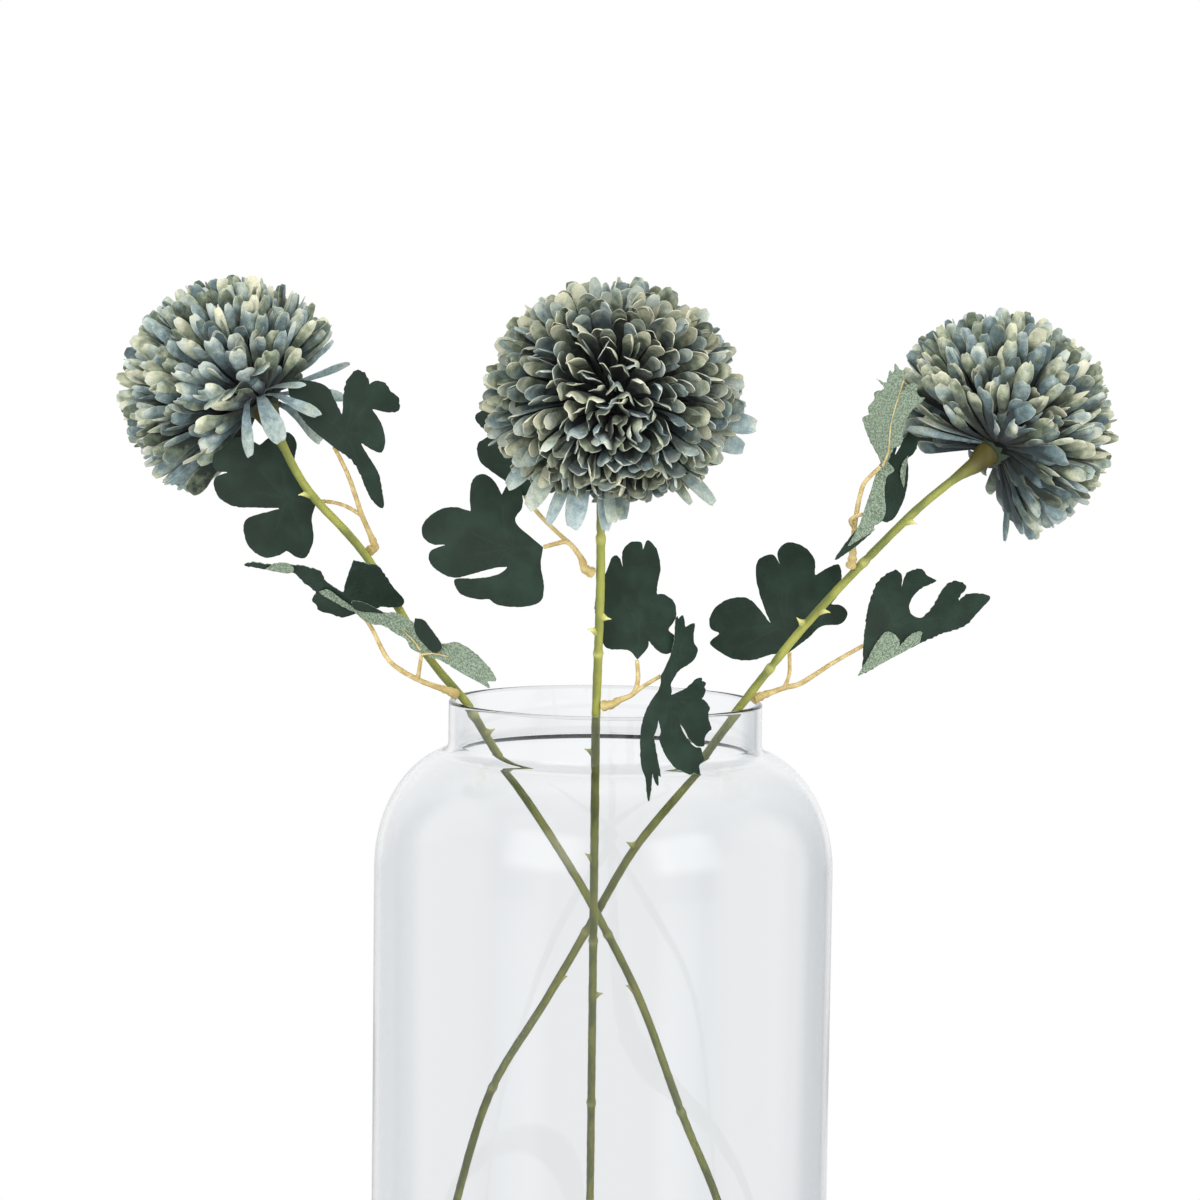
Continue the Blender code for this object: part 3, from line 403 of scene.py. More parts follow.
# Each leaf: the twig it ends, which of the twig's two ends (0 main, 1 side), its size, the slope and the
# bend of its sheet away from -Y, how deep the teeth of its edge are, and its outline seen from -Y. An
# outline is a list of lobes from the leaf's base round to it again, each a smooth line whose last point is
# the notch before the next lobe. A flap is the outline of a part that is rolled over to the front: its
# first and last points lie on the roll, and from there it lifts. A rib is a raised vein, which goes on from
# the twig.
# A leaf without flaps or ribs doesn't name them.
LEAVES = {
    "left_upper_1": {
        "twig": "left_upper", "end": 0, "size": 1.0, "slope": (0.0, -0.05), "bend": (0.006, 0.0, 0.0),
        "teeth": 0.7,
        "outline": [
            [(-10, 8), (-16.5, 16), (-20, 24), (-19.5, 28.5), (-10, 28), (-2.5, 25.5), (0.5, 20), (3.5, 14)],
            [(3.9, 24), (6, 30), (9, 33), (13, 32), (15, 28), (13.5, 25)],
            [(16, 28), (21, 28), (24, 24), (27.5, 21), (27, 15.5), (22, 15), (16, 16.5)],
            [(20, 10), (21.5, 3), (20, -2), (15.5, -0.5), (11.5, 2)],
            [(15, -4), (18.5, -10), (20, -16), (21, -25.5), (16, -22.5), (12, -14), (7.5, -6), (0, 0)],
        ],
    },
    "left_upper_2": {
        "twig": "left_upper", "end": 1, "size": 1.0, "slope": (0.30, 0.05), "bend": (0.002, 0.0, 0.0),
        "teeth": 0.15,
        "outline": [
            [(-5, 5), (-9.5, 15), (-8.5, 25), (-12, 30), (-18, 29), (-24, 24.5)],
            [(-30, 27.5), (-36, 27), (-41, 24), (-43.5, 18.5), (-42.5, 13.5), (-37, 12.6)],
            [(-42, 10.8), (-43, 7), (-40.5, 1.5), (-34, -2), (-25, -2.4), (-15.2, -2.6)],
            [(-23, -4.8), (-29, -7), (-30.4, -12), (-28, -19), (-22, -23.5), (-16, -23), (-12, -20.7)],
            [(-8, -23.5), (-4, -23.5), (-1, -16), (-1.8, -7), (0, 0)],
        ],
    },
    "left_lower_1": {
        "twig": "left_lower", "end": 0, "size": 0.97, "slope": (0.25, -0.45), "bend": (0.008, 0.0, 0.010),
        "teeth": 0.6,
        "flaps": [
            [(-40, 19.3), (-35.5, 22.6), (-29.5, 22.6), (-27.4, 19.5), (-30.5, 17.6), (-35, 18.2),
             (-39.5, 19.2)],
            [(-17.5, 9.5), (-13.5, 10.8), (-8.5, 7.0), (-1.5, 1.2), (-4.5, 1.6), (-12, 5.8), (-17.2, 8.8)],
        ],
        "outline": [
            [(-7.3, -2.4), (-12, -1.2), (-18.4, 0.8), (-18.8, 3.0), (-21, 5.5), (-18.8, 9.0)],
            [(-24, 13.2), (-27.5, 17.3), (-33, 18.2), (-40.5, 18.8), (-50.0, 20.2), (-46, 22.0),
             (-38, 21.4), (-28.6, 21.4), (-22.5, 20.8)],
            [(-16, 18.8), (-14.6, 14.8), (-10.6, 11.2), (-7.2, 8.9)],
            [(-6.4, 12.8), (-4.4, 18.2), (-2.4, 23.6)],
            [(4.5, 21.6), (8, 20.8), (10.8, 16.8), (14.2, 10.6), (18.6, 5.2), (16.5, 2.0), (8.5, 1.6),
             (0, 0)],
        ],
    },
    "left_lower_2": {
        "twig": "left_lower", "end": 1, "size": 0.97, "slope": (-0.25, -0.20), "bend": (-0.008, 0.0, 0.010),
        "teeth": 0.35,
        "flaps": [
            [(-29.2, 20.8), (-29.6, 23.6), (-25.5, 23.4), (-19.5, 20.6), (-15.6, 18.2), (-20.5, 18.6),
             (-25.5, 18.8), (-28.4, 20.0)],
            [(-2.4, 15.8), (1.8, 15.0), (5.5, 10.8), (9.0, 6.2), (10.2, 3.4), (7.6, 0.8), (4.2, 2.2),
             (1.0, 5.4), (-1.8, 8.6), (-3.0, 12.5)],
        ],
        "ribs": [[(0, 1.5), (-3.0, 5.5), (-8.5, 11.0)], [(0, -0.5), (5.5, 0.2), (12.5, -0.8)]],
        "outline": [
            [(-4.5, 2.2), (-6.4, 6.0), (-10.6, 8.3), (-16.0, 11.8), (-22.8, 13.2), (-28.8, 18.6)],
            [(-24.5, 19.4), (-16.2, 18.3), (-10.6, 17.9), (-5.2, 15.2), (-2.0, 13.0)],
            [(2.5, 9.5), (7.0, 4.4)],
            [(11.4, 4.9), (15.0, 5.7), (19.0, 4.6), (24.5, 1.0), (29.6, -3.5), (33.0, -7.6), (33.2, -10.0),
             (29.4, -10.2)],
            [(30.8, -13.2), (27.4, -11.9), (21.0, -9.1), (14.2, -5.6), (8.8, -2.9), (3.2, -1.4), (0, 0)],
        ],
    },
    "middle_upper_1": {
        "twig": "middle_upper", "end": 0, "size": 0.90, "slope": (0.10, 0.05), "bend": (0.004, 0.010, 0.0),
        "teeth": 0.1,
        "outline": [
            [(-12.5, 11), (-9.5, 18), (-10.5, 26), (-14, 30), (-17, 27), (-19, 23)],
            [(-22, 28.5), (-27, 32), (-32, 30), (-33.5, 23), (-32.8, 15.5)],
            [(-40, 17.2), (-48, 15.5), (-54, 10), (-54.5, 4), (-50, 0.4), (-43.5, 0.4)],
            [(-50, -2), (-51.4, -6), (-48.7, -10.4), (-43.9, -13.4), (-40.7, -14.3), (-37.4, -14.2),
             (-29.4, -11.9), (-21.4, -9.5), (-15.7, -8.9)],
            [(-18.4, -11.5), (-22, -13.1), (-29.4, -14.4), (-37.4, -14.7), (-40, -15.6), (-38.6, -20.2),
             (-35, -22.8), (-28.2, -24.2)],
            [(-24, -23.9), (-21, -26), (-13.3, -27.2), (-5.3, -26.6), (-0.6, -24), (0.5, -17.6), (-1, -7.6),
             (0, 0)],
        ],
    },
    "middle_upper_2": {
        "twig": "middle_upper", "end": 1, "size": 1.0, "slope": (0.20, 0.15), "bend": (0.006, 0.0, 0.0),
        "teeth": 0.2,
        "outline": [
            [(-6, 5), (-13.4, 10), (-18.3, 14), (-19.5, 21), (-14.5, 24.5)],
            [(-20.6, 31.5), (-17, 35.5), (-12, 38), (-9, 33)],
            [(-5, 40), (2, 43), (7, 38), (6, 30)],
            [(13, 31), (17, 26), (15, 20), (10, 16)],
            [(13, 11), (9, 3), (0, 0)],
        ],
    },
    "middle_lower_1": {
        "twig": "middle_lower", "end": 0, "size": 0.92, "slope": (0.15, 0.35), "bend": (0.012, 0.0, 0.0),
        "teeth": 0.12,
        "outline": [
            [(-4.5, 4.2), (-14, 4.8), (-17, 13), (-19.5, 22), (-18, 30), (-14.5, 38), (-11.5, 45),
             (-8, 43.5), (-5.5, 32), (-3, 20.5)],
            [(-5.8, 34), (-7.5, 46), (-4, 51.2), (1, 51.5), (2, 48)],
            [(4, 52.5), (8, 48.5), (10, 40), (8.7, 33), (8.2, 28.4)],
            [(12, 28.2), (16.5, 24.5), (17, 18), (13.5, 12.7)],
            [(17, 9.5), (18, 5), (13, 2.2), (8, 4.5), (4.8, 8.2)],
            [(4.5, 5), (0, 0)],
        ],
    },
    "middle_lower_2": {
        "twig": "middle_lower", "end": 1, "size": 0.90, "slope": (0.20, 0.42), "bend": (0.010, 0.0, 0.012),
        "teeth": 0.3,
        "outline": [
            [(1.6, 2.7), (4.3, 9.1), (6.1, 15.8), (6.3, 23.1), (7.5, 26.3), (7.9, 24.7)],
            [(10.2, 26.5), (10.9, 23.3), (11.2, 20.8)],
            [(12.7, 21.8), (15.3, 22.2), (15.1, 18.1), (15.2, 14.0)],
            [(16.7, 11.9), (17.0, 10.0), (15.6, 6.8), (12.9, 4.5), (9.7, 2.7), (7.5, 0.5), (4.9, -3.6),
             (5.3, -6.3), (4.9, -8.5)],
            [(9.7, -6.5), (13.4, -4.1), (16.1, -1.9), (18.8, -1.5), (18.7, -2.9)],
            [(20.7, -4.0), (19.7, -5.6)],
            [(20.6, -7.0), (19.9, -9.1), (18.8, -10.6)],
            [(20.6, -11.8), (22.6, -14.8), (21.6, -16.7)],
            [(22.2, -20.4), (23.4, -23.4), (21.9, -24.4)],
            [(19.9, -27.4), (19.8, -30.6), (16.1, -30.4), (13.0, -27.6), (11.2, -24.2), (8.7, -20.9)],
            [(10.4, -24.5), (12.6, -28.1), (15.6, -30.9), (18.2, -31.2)],
            [(19, -34), (19.6, -36.7), (17.4, -38.5)],
            [(17.8, -42.8), (15.2, -42.0)],
            [(12.7, -42.6), (8.4, -40.6)],
            [(7.9, -41.0), (5.2, -38.5), (2, -34.4), (-0.9, -27.8), (0.1, -24.9), (-0.5, -21.3),
             (-1.0, -19.5)],
            [(-1.5, -23.1), (-2.6, -26.2), (-2.3, -29.4), (-1.1, -35.8), (0.5, -43.6), (-0.8, -43.6)],
            [(-0.6, -48.2), (-2.5, -46.2), (-3.5, -42.5)],
            [(-4.2, -52.0), (-5.2, -55.4), (-6.1, -50.7), (-6.8, -44.8), (-8.6, -39.4), (-9.2, -30.3),
             (-8.4, -21.3), (-6.1, -14.5), (-2.9, -9.1), (-0.3, -4.5), (0, 0)],
        ],
    },
    "right_upper_1": {
        "twig": "right_upper", "end": 0, "size": 1.0, "slope": (-0.90, 0.10), "bend": (0.0, 0.006, 0.0),
        "teeth": 0.9,
        "ribs": [[(0.2, 0.5), (2.4, 6.0), (3.0, 12.0), (3.6, 18.0), (5.8, 27.0), (9.0, 37.0)]],
        "outline": [
            [(-2.2, 5.2), (-5.2, 10.2), (-6.5, 14.5), (-7.9, 20.2), (-5.2, 21.6)],
            [(-5.4, 25), (-3.2, 28.4), (-2.6, 31.8), (0.8, 33)],
            [(-2.2, 37.4), (1.6, 35.6), (3, 40.6), (4.6, 39.8), (5.4, 43.8), (7.2, 41), (9.6, 39.6),
             (7.4, 31.0)],
            [(10.2, 35), (13.9, 35.2), (13.9, 30.4), (16.4, 29.4), (13.4, 25.6), (10.4, 22), (8.5, 15.7),
             (7.4, 8.9), (5.2, 8.3), (2.8, 3.4), (0, 0)],
        ],
    },
    "right_upper_2": {
        "twig": "right_upper", "end": 1, "size": 1.0, "slope": (0.50, 0.10), "bend": (0.0, 0.004, 0.0),
        "teeth": 0.3,
        "flaps": [
            [(6.0, 20.4), (8.6, 22.4), (10.6, 20.6), (12.4, 17.8), (9.2, 15.6), (8.2, 11), (8.0, 7.1),
             (8.5, 1.5), (7.4, -2.2), (5.9, -4.0), (3.1, -5.2), (3.7, -7.0), (-1, -9.8), (-7.7, -13.6),
             (-5.0, -9.0), (-2.4, -4.5)],
            [(18.9, 24.2), (16.2, 21.2), (15.2, 16.0), (17.0, 10.6)],
        ],
        "outline": [
            [(0.6, 3.2), (2.8, 9.4), (6.2, 20.1), (9.0, 24), (10.4, 29), (14.4, 29.4), (13.4, 24.5)],
            [(15.2, 27), (17.2, 31.4), (20, 34.9), (22.8, 33.8), (23.8, 29.3), (21.6, 25), (19, 23.4)],
            [(19.4, 18), (18.8, 12), (18.3, 9.6), (17, 5.2), (13.9, -0.9), (10.8, -3.7), (7.4, -3.1),
             (4.4, -4.8)],
            [(3.7, -7.4), (-3, -13), (-12.6, -19.4), (-9.6, -14), (-5.6, -9), (-2.4, -4.6), (0, 0)],
        ],
    },
    "right_lower_1": {
        "twig": "right_lower", "end": 1, "size": 1.0, "slope": (0.0, 0.10), "bend": (0.006, 0.006, 0.0),
        "teeth": 0.1,
        "outline": [
            [(-8, -1.2), (-16, -3.8), (-24, -3.5), (-30, -0.5), (-34.2, 3), (-29.8, 7.3)],
            [(-34, 9.5), (-33.5, 15.5), (-28, 21.3), (-19, 23), (-13.5, 19), (-8, 12)],
            [(-11, 19), (-14, 29), (-14, 38), (-9, 41.3), (-6, 40.5), (-3.8, 36.8)],
            [(-5, 42), (-1, 46.6), (5.5, 45.5), (11, 40), (11.2, 32.6)],
            [(16, 35.5), (22, 37.5), (23, 31), (21.5, 25), (18, 20.5)],
            [(23, 20), (25.5, 16), (22, 12), (14, 11.3), (8, 6), (0, 0)],
        ],
    },
    "right_lower_2": {
        "twig": "right_lower", "end": 0, "size": 0.98, "slope": (-0.12, 0.08), "bend": (0.008, 0.006, 0.0),
        "teeth": 0.7,
        "flaps": [
            [(24.6, 1.4), (25.4, 6.2), (20.2, 4.8), (15.4, -0.3), (15.7, 2.2), (12.7, 5.5), (9.1, 5.7),
             (5.6, 1.6), (2.0, -5.5), (-2.2, -13.2), (0.4, -12.2)],
        ],
        "outline": [
            [(0.5, 9), (2.8, 20), (6, 27.5), (10, 31), (14.5, 33), (17.3, 30), (16.8, 25)],
            [(19, 31.5), (26, 33.3), (29, 30), (32.8, 27.8), (25.5, 24.5), (21, 20), (20, 16), (22, 13),
             (26, 12.8), (31, 18), (37, 26.5), (43, 28), (47, 25), (42.5, 19.5)],
            [(48, 22.5), (58.3, 20.5), (53, 15), (46, 8), (36, 5), (25, 0.9)],
            [(16, -3.2), (7.6, -8.0), (0, -12.5), (-0.3, -5), (0, 0)],
        ],
    },
}


def linear(red, green, blue):
    """A display colour, 0 to 255, as a linear shader colour."""
    def channel(value):
        share = value / 255
        return share / 12.92 if share <= 0.04045 else ((share + 0.055) / 1.055) ** 2.4
    return (channel(red), channel(green), channel(blue), 1.0)


class Nodes:
    """A node tree with helpers that add and link its nodes."""

    def __init__(self, tree):
        self.tree = tree

    def node(self, kind, **settings):
        made = self.tree.nodes.new(kind)
        for key, value in settings.items():
            setattr(made, key, value)
        return made

    def link(self, source, target):
        self.tree.links.new(source, target)

    def feed(self, socket, value):
        """Links a socket or sets a plain value."""
        if isinstance(value, bpy.types.NodeSocket):
            self.link(value, socket)
        else:
            socket.default_value = value

    def math(self, operation, a, b=0.0, clamp=False):
        made = self.node("ShaderNodeMath", operation=operation, use_clamp=clamp)
        self.feed(made.inputs[0], a)
        self.feed(made.inputs[1], b)
        return made.outputs[0]

    def axes(self, vector):
        """The X, Y and Z of a vector."""
        made = self.node("ShaderNodeSeparateXYZ")
        self.link(vector, made.inputs[0])
        return made.outputs

    def span(self, value, low, high, kind="SMOOTHSTEP"):
        """0 up to low, 1 from high, and between them smooth or LINEAR."""
        made = self.node("ShaderNodeMapRange", interpolation_type=kind)
        self.feed(made.inputs["Value"], value)
        made.inputs["From Min"].default_value = low
        made.inputs["From Max"].default_value = high
        return made.outputs[0]

    def mix(self, share, a, b, blend="MIX"):
        made = self.node("ShaderNodeMix", data_type="RGBA", blend_type=blend)
        for socket, value in zip((0, 6, 7), (share, a, b)):
            self.feed(made.inputs[socket], value)
        return made.outputs[2]


class Shader(Nodes):
    """A new material and its nodes."""

    def __init__(self, name):
        self.material = bpy.data.materials.new(name)
        self.material.use_nodes = True
        super().__init__(self.material.node_tree)
        self.surface = self.tree.nodes["Principled BSDF"]

    def ramp(self, value, stops):
        made = self.node("ShaderNodeValToRGB")
        self.feed(made.inputs[0], value)
        while len(made.color_ramp.elements) < len(stops):
            made.color_ramp.elements.new(0.5)
        for element, (place, colour) in zip(made.color_ramp.elements, stops):
            element.position = place
            element.color = colour
        return made.outputs[0]

    def attribute(self, name):
        return self.node("ShaderNodeAttribute", attribute_name=name).outputs["Fac"]

    def place(self):
        return self.node("ShaderNodeTexCoord").outputs["Object"]

    def noise(self, size, detail=2.0, stretch=(1, 1, 1)):
        """Noise whose features are about size millimetres, 0 to 1."""
        scaled = self.node("ShaderNodeMapping")
        self.link(self.place(), scaled.inputs["Vector"])
        scaled.inputs["Scale"].default_value = stretch
        made = self.node("ShaderNodeTexNoise")
        self.link(scaled.outputs[0], made.inputs["Vector"])
        made.inputs["Scale"].default_value = 1 / (size * MM)
        made.inputs["Detail"].default_value = detail
        return made.outputs[0]

    def bump(self, height, distance, strength=1.0):
        made = self.node("ShaderNodeBump")
        made.inputs["Strength"].default_value = strength
        made.inputs["Distance"].default_value = distance * MM
        self.link(height, made.inputs["Height"])
        self.link(made.outputs[0], self.surface.inputs["Normal"])

    def rough(self, grain, least):
        """Roughness that goes up with the grain."""
        return self.math("ADD", self.math("MULTIPLY", grain, ROUGH_SPREAD), least)

    def set(self, **values):
        """Sets or links the surface's sockets, with _ for the space in a socket's name."""
        for key, value in values.items():
            self.feed(self.surface.inputs[key.replace("_", " ")], value)


def petal_fabric():
    """Dyed fabric with painted shade: dark at the foot as painted shade, sage or slate blue in patches, pale
    at the tip and its thin edge.
    """
    s = Shader("petal_look")
    along, tone = s.attribute("along"), s.attribute("tone")
    shift = s.math("MULTIPLY", s.math("SUBTRACT", tone, 0.6), 0.34)
    blotch = s.math("MULTIPLY", s.math("SUBTRACT", s.noise(4.5, 3), 0.5), 0.6)
    # The ramp's place starts from along, which painted shade lowers on the side blooms and near a bloom's
    # middle.
    place = s.math("ADD", s.math("ADD", along, shift), blotch, clamp=True)
    # The sage and slate ramps: dye, with painted shade in their dark foot colours.
    sage, slate = (s.ramp(place, [(stop, linear(*colour)) for stop, colour in zip(DYE_AND_SHADE_STOPS, dye_and_shade)])
                   for dye_and_shade in (SAGE_DYE_AND_SHADE, SLATE_DYE_AND_SHADE))
    own = s.math("FRACT", s.math("MULTIPLY", tone, 7.3))
    patch = s.span(s.math("ADD", s.noise(8, 2), s.math("MULTIPLY", own, 0.5)), 0.60, 0.95)
    dye_and_shade = s.mix(patch, sage, slate)
    edge = s.math("MULTIPLY", s.span(s.attribute("edge"), 0.88, 1.0), s.span(along, 0.5, 0.9))
    edge = s.math("MULTIPLY", edge, s.span(s.noise(5, 1), 0.3, 0.8))
    dye_and_shade = s.mix(s.math("MULTIPLY", edge, 0.6), dye_and_shade, linear(202, 200, 176))
    faded = s.mix(s.span(s.noise(2.5, 3), 0.3, 0.7), linear(106, 127, 137), linear(152, 169, 174))
    dye_and_shade = s.mix(s.attribute("pale"), dye_and_shade, faded)
    fibre = s.noise(0.5, 3)
    fibres = s.ramp(fibre, [(0.3, linear(76, 82, 80)), (0.7, linear(222, 224, 216))])
    dye_and_shade = s.mix(0.4, dye_and_shade, fibres, "SOFT_LIGHT")
    s.set(Base_Color=dye_and_shade, Roughness=0.85, Sheen_Weight=0.08, Sheen_Roughness=0.6, Specular_IOR_Level=0.2)
    s.bump(s.math("ADD", fibre, s.math("MULTIPLY", s.noise(1.6, 2), 1.5)), 0.12, 0.7)
    return s.material


def leaf_top():
    """Dark green satin cloth."""
    s = Shader("leaf_top_look")
    green = s.mix(s.span(s.noise(12, 2), 0.35, 0.7), linear(23, 36, 28), linear(31, 49, 39))
    green = s.mix(s.math("MULTIPLY", s.noise(0.9, 3), 0.3), green, linear(42, 62, 49))
    green = s.mix(s.math("MULTIPLY", s.attribute("vein"), 0.12), green, linear(54, 75, 60))
    weave = s.noise(0.45, 2)
    s.set(Base_Color=green, Roughness=s.rough(weave, 0.42), Specular_IOR_Level=0.28)
    s.bump(s.math("ADD", weave, s.math("MULTIPLY", s.noise(1.8, 2), 1.5)), 0.1, 0.6)
    return s.material


def leaf_under():
    """Pale sage cloth, where the dark dye shows through the weave in specks and slanting threads."""
    s = Shader("leaf_under_look")
    specks = s.span(s.noise(0.75, 3), 0.36, 0.62)
    threads = s.node("ShaderNodeTexWave", wave_type="BANDS", bands_direction="DIAGONAL")
    s.link(s.place(), threads.inputs["Vector"])
    threads.inputs["Scale"].default_value = 330
    threads.inputs["Distortion"].default_value = 2.0
    sage = s.mix(specks, linear(72, 89, 74), linear(142, 156, 137))
    sage = s.mix(s.math("MULTIPLY", threads.outputs["Fac"], 0.4), sage, linear(92, 110, 88))
    sage = s.mix(s.math("MULTIPLY", s.noise(14, 1), 0.4), sage, linear(112, 126, 103))
    s.set(Base_Color=sage, Roughness=0.85, Sheen_Weight=0.15)
    s.bump(s.math("ADD", s.noise(0.6, 2), threads.outputs["Fac"]), 0.15, 0.7)
    return s.material


def stem_plastic():
    """Olive moulded plastic with painted shade, darker on the sides that face -X, and with yellower thorns
    and rings and a brown trumpet.
    """
    s = Shader("stem_look")
    # Painted shade: the colour goes darker where the surface faces -X.
    side = s.axes(s.node("ShaderNodeNewGeometry").outputs["Normal"])["X"]
    shade = s.math("ADD", s.math("MULTIPLY", side, 0.22), s.noise(16, 3))
    olive = s.mix(s.span(shade, 0.30, 0.72), linear(98, 106, 46), linear(148, 150, 68))
    olive = s.mix(s.attribute("thorn"), olive, linear(196, 192, 118))
    brown = s.mix(s.noise(5, 3, (1, 1, 0.3)), linear(46, 44, 18), linear(88, 80, 34))
    olive = s.mix(s.attribute("trumpet"), olive, brown)
    grain = s.noise(1.2, 3, (1, 1, 0.25))
    s.set(Base_Color=olive, Roughness=s.rough(grain, 0.38))
    s.bump(grain, 0.15, 0.6)
    return s.material


def calyx_plastic():
    """Dark green soft plastic of the sepals."""
    s = Shader("calyx_look")
    green = s.mix(s.noise(2.5, 3), linear(22, 34, 20), linear(46, 60, 34))
    s.set(Base_Color=green, Roughness=0.5)
    s.bump(s.noise(0.8, 2), 0.12, 0.5)
    return s.material


def twig_plastic():
    """Tan plastic with streaks along the twig and a browner root."""
    s = Shader("twig_look")
    tan = s.mix(s.span(s.noise(4, 3), 0.35, 0.68), linear(168, 146, 92), linear(198, 178, 126))
    tan = s.mix(s.math("MULTIPLY", s.attribute("root"), 0.45), tan, linear(168, 150, 84))
    grain = s.noise(0.9, 3)
    s.set(Base_Color=tan, Roughness=s.rough(grain, 0.42))
    s.bump(grain, 0.12, 0.6)
    return s.material


def clear_glass():
    """Clear glass with a slight blue-grey cast."""
    s = Shader("glass_look")
    s.set(Base_Color=(0.982, 0.989, 0.993, 1), Roughness=0.0, IOR=1.46, Transmission_Weight=1.0)
    s.bump(s.noise(45, 1, (1, 1, 0.4)), 0.4, 0.25)
    return s.material


def floor_paper():
    """Plain near-white studio paper."""
    s = Shader("floor_look")
    s.set(Base_Color=s.mix(s.noise(3, 2), linear(240, 240, 240), linear(246, 246, 246)), Roughness=0.9)
    return s.material


def add_piece(name, verts, faces, materials, slot, replaced, face_materials=None, attributes=None):
    """Makes a piece from millimetre points, on the body root, in place of its CAD node."""
    mesh = bpy.data.meshes.new(name)
    mesh.from_pydata((np.array(verts, float) * MM).tolist(), [], faces)
    for made in materials:
        mesh.materials.append(made)
    if face_materials is not None:
        mesh.polygons.foreach_set("material_index", face_materials)
    for key, values in (attributes or {}).items():
        layer = mesh.attributes.new(key, "FLOAT", "POINT")
        layer.data.foreach_set("value", np.array(values, np.float32))
    mesh.shade_smooth()
    mesh.set_sharp_from_angle(angle=math.radians(SHARP_ANGLE))
    piece = bpy.data.objects.new(name, mesh)
    bpy.context.scene.collection.objects.link(piece)
    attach(piece, "root")
    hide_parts(replaced)
    return piece


def arc(centre, radii, start, end, steps):
    """Points (r, z) on an elliptic arc between two angles in degrees, counted from +r towards +z."""
    angles = [math.radians(start + (end - start) * i / steps) for i in range(steps + 1)]
    return [(centre[0] + radii[0] * math.cos(a), centre[1] + radii[1] * math.sin(a)) for a in angles]


def lathe(profile, sides):
    """Closed surface turned round +Z from (r, z) points that start and end on the axis."""
    verts = []
    rings = []
    for r, z in profile:
        if r == 0:
            rings.append([len(verts)] * sides)
            verts.append((0, 0, z))
        else:
            rings.append(range(len(verts), len(verts) + sides))
            verts += [(r * math.cos(math.tau * i / sides), r * math.sin(math.tau * i / sides), z)
                      for i in range(sides)]
    faces = []
    for low, high in zip(rings, rings[1:]):
        for i in range(sides):
            j = (i + 1) % sides
            faces.append(list(dict.fromkeys([low[i], low[j], high[j], high[i]])))
    return verts, faces


def smooth_path(points, steps):
    """Catmull-Rom curve through the points, with so many steps between neighbours."""
    points = [Vector(p) for p in points]
    ends = [2 * points[0] - points[1]] + points + [2 * points[-1] - points[-2]]
    curve = []
    for a, b, c, d in zip(ends, ends[1:], ends[2:], ends[3:]):
        for i in range(steps):
            t = i / steps
            curve.append(0.5 * (2 * b + (c - a) * t + (2 * a - 5 * b + 4 * c - d) * t * t
                                + (3 * b - a - 3 * c + d) * t ** 3))
    return curve + [points[-1]]


def lengths_along(path):
    """Distance of each point of a path from its start."""
    total = [0.0]
    for a, b in zip(path, path[1:]):
        total.append(total[-1] + (b - a).length)
    return total


def point_at(path, distance):
    """The point of a path at a distance from its start."""
    lengths = lengths_along(path)
    for a, b, low, high in zip(path, path[1:], lengths, lengths[1:]):
        if distance <= high:
            return a.lerp(b, (distance - low) / (high - low))
    return path[-1]


def resample(path, step):
    """Even points along a path, about a step apart."""
    total = lengths_along(path)[-1]
    count = max(2, round(total / step))
    return [point_at(path, total * i / count) for i in range(count + 1)]


def tube(path, radii, sides, uneven=0.0):
    """Closed tube along a path, with a radius for each point, flat ends and a slightly uneven skin."""
    behind, ahead = [path[0]] + path[:-2] + [path[-2]], path[1:] + [path[-1]]
    tangents = [(b - a).normalized() for a, b in zip(behind, ahead)]
    across = tangents[0].orthogonal().normalized()
    verts = []
    for i, (centre, radius) in enumerate(zip(path, radii)):
        if i:
            across = tangents[i - 1].rotation_difference(tangents[i]) @ across
        other = tangents[i].cross(across)
        for k in range(sides):
            angle = math.tau * k / sides
            out = math.cos(angle) * across + math.sin(angle) * other
            skin = 1 + uneven * noise.noise((centre + out * radius) * SKIN_GRAIN)
            verts.append(centre + out * radius * skin)
    faces = [list(range(sides - 1, -1, -1)), list(range(len(verts) - sides, len(verts)))]
    for ring in range(len(path) - 1):
        for k in range(sides):
            n = (k + 1) % sides
            low = ring * sides
            faces.append([low + k, low + n, low + sides + n, low + sides + k])
    return verts, faces


class Parts:
    """Several closed shapes gathered into one mesh, with their point attributes."""

    def __init__(self, *keys):
        self.verts = []
        self.faces = []
        self.attributes = {key: [] for key in keys}

    def add(self, verts, faces, **values):
        start = len(self.verts)
        self.verts += [tuple(v) for v in verts]
        self.faces += [[start + i for i in face] for face in faces]
        for key, store in self.attributes.items():
            value = values.get(key, 0.0)
            store += list(value) if hasattr(value, "__len__") else [value] * len(verts)


def shoulder_to_neck(radii, neck_radius, rounding, steps):
    """The shoulder's elliptic arc up to the round corner under the neck, then that corner."""
    centre = (BODY_RADIUS - SHOULDER_REACH, SHOULDER_START)
    corner = CORNER_GUESS
    for _ in range(CORNER_ROUNDS):
        meeting = neck_radius + rounding * (1 + math.cos(math.radians(corner)))
        angle = math.acos((meeting - centre[0]) / radii[0])
        corner = 270 - math.degrees(math.atan(radii[1] / radii[0] / math.tan(angle)))
    low = centre[1] + radii[1] * math.sin(angle)
    middle = (neck_radius + rounding, low - rounding * math.sin(math.radians(corner)))
    curve = arc(centre, radii, 0, math.degrees(angle), steps)
    return curve[:-1] + arc(middle, (rounding, rounding), corner, 180, 8)


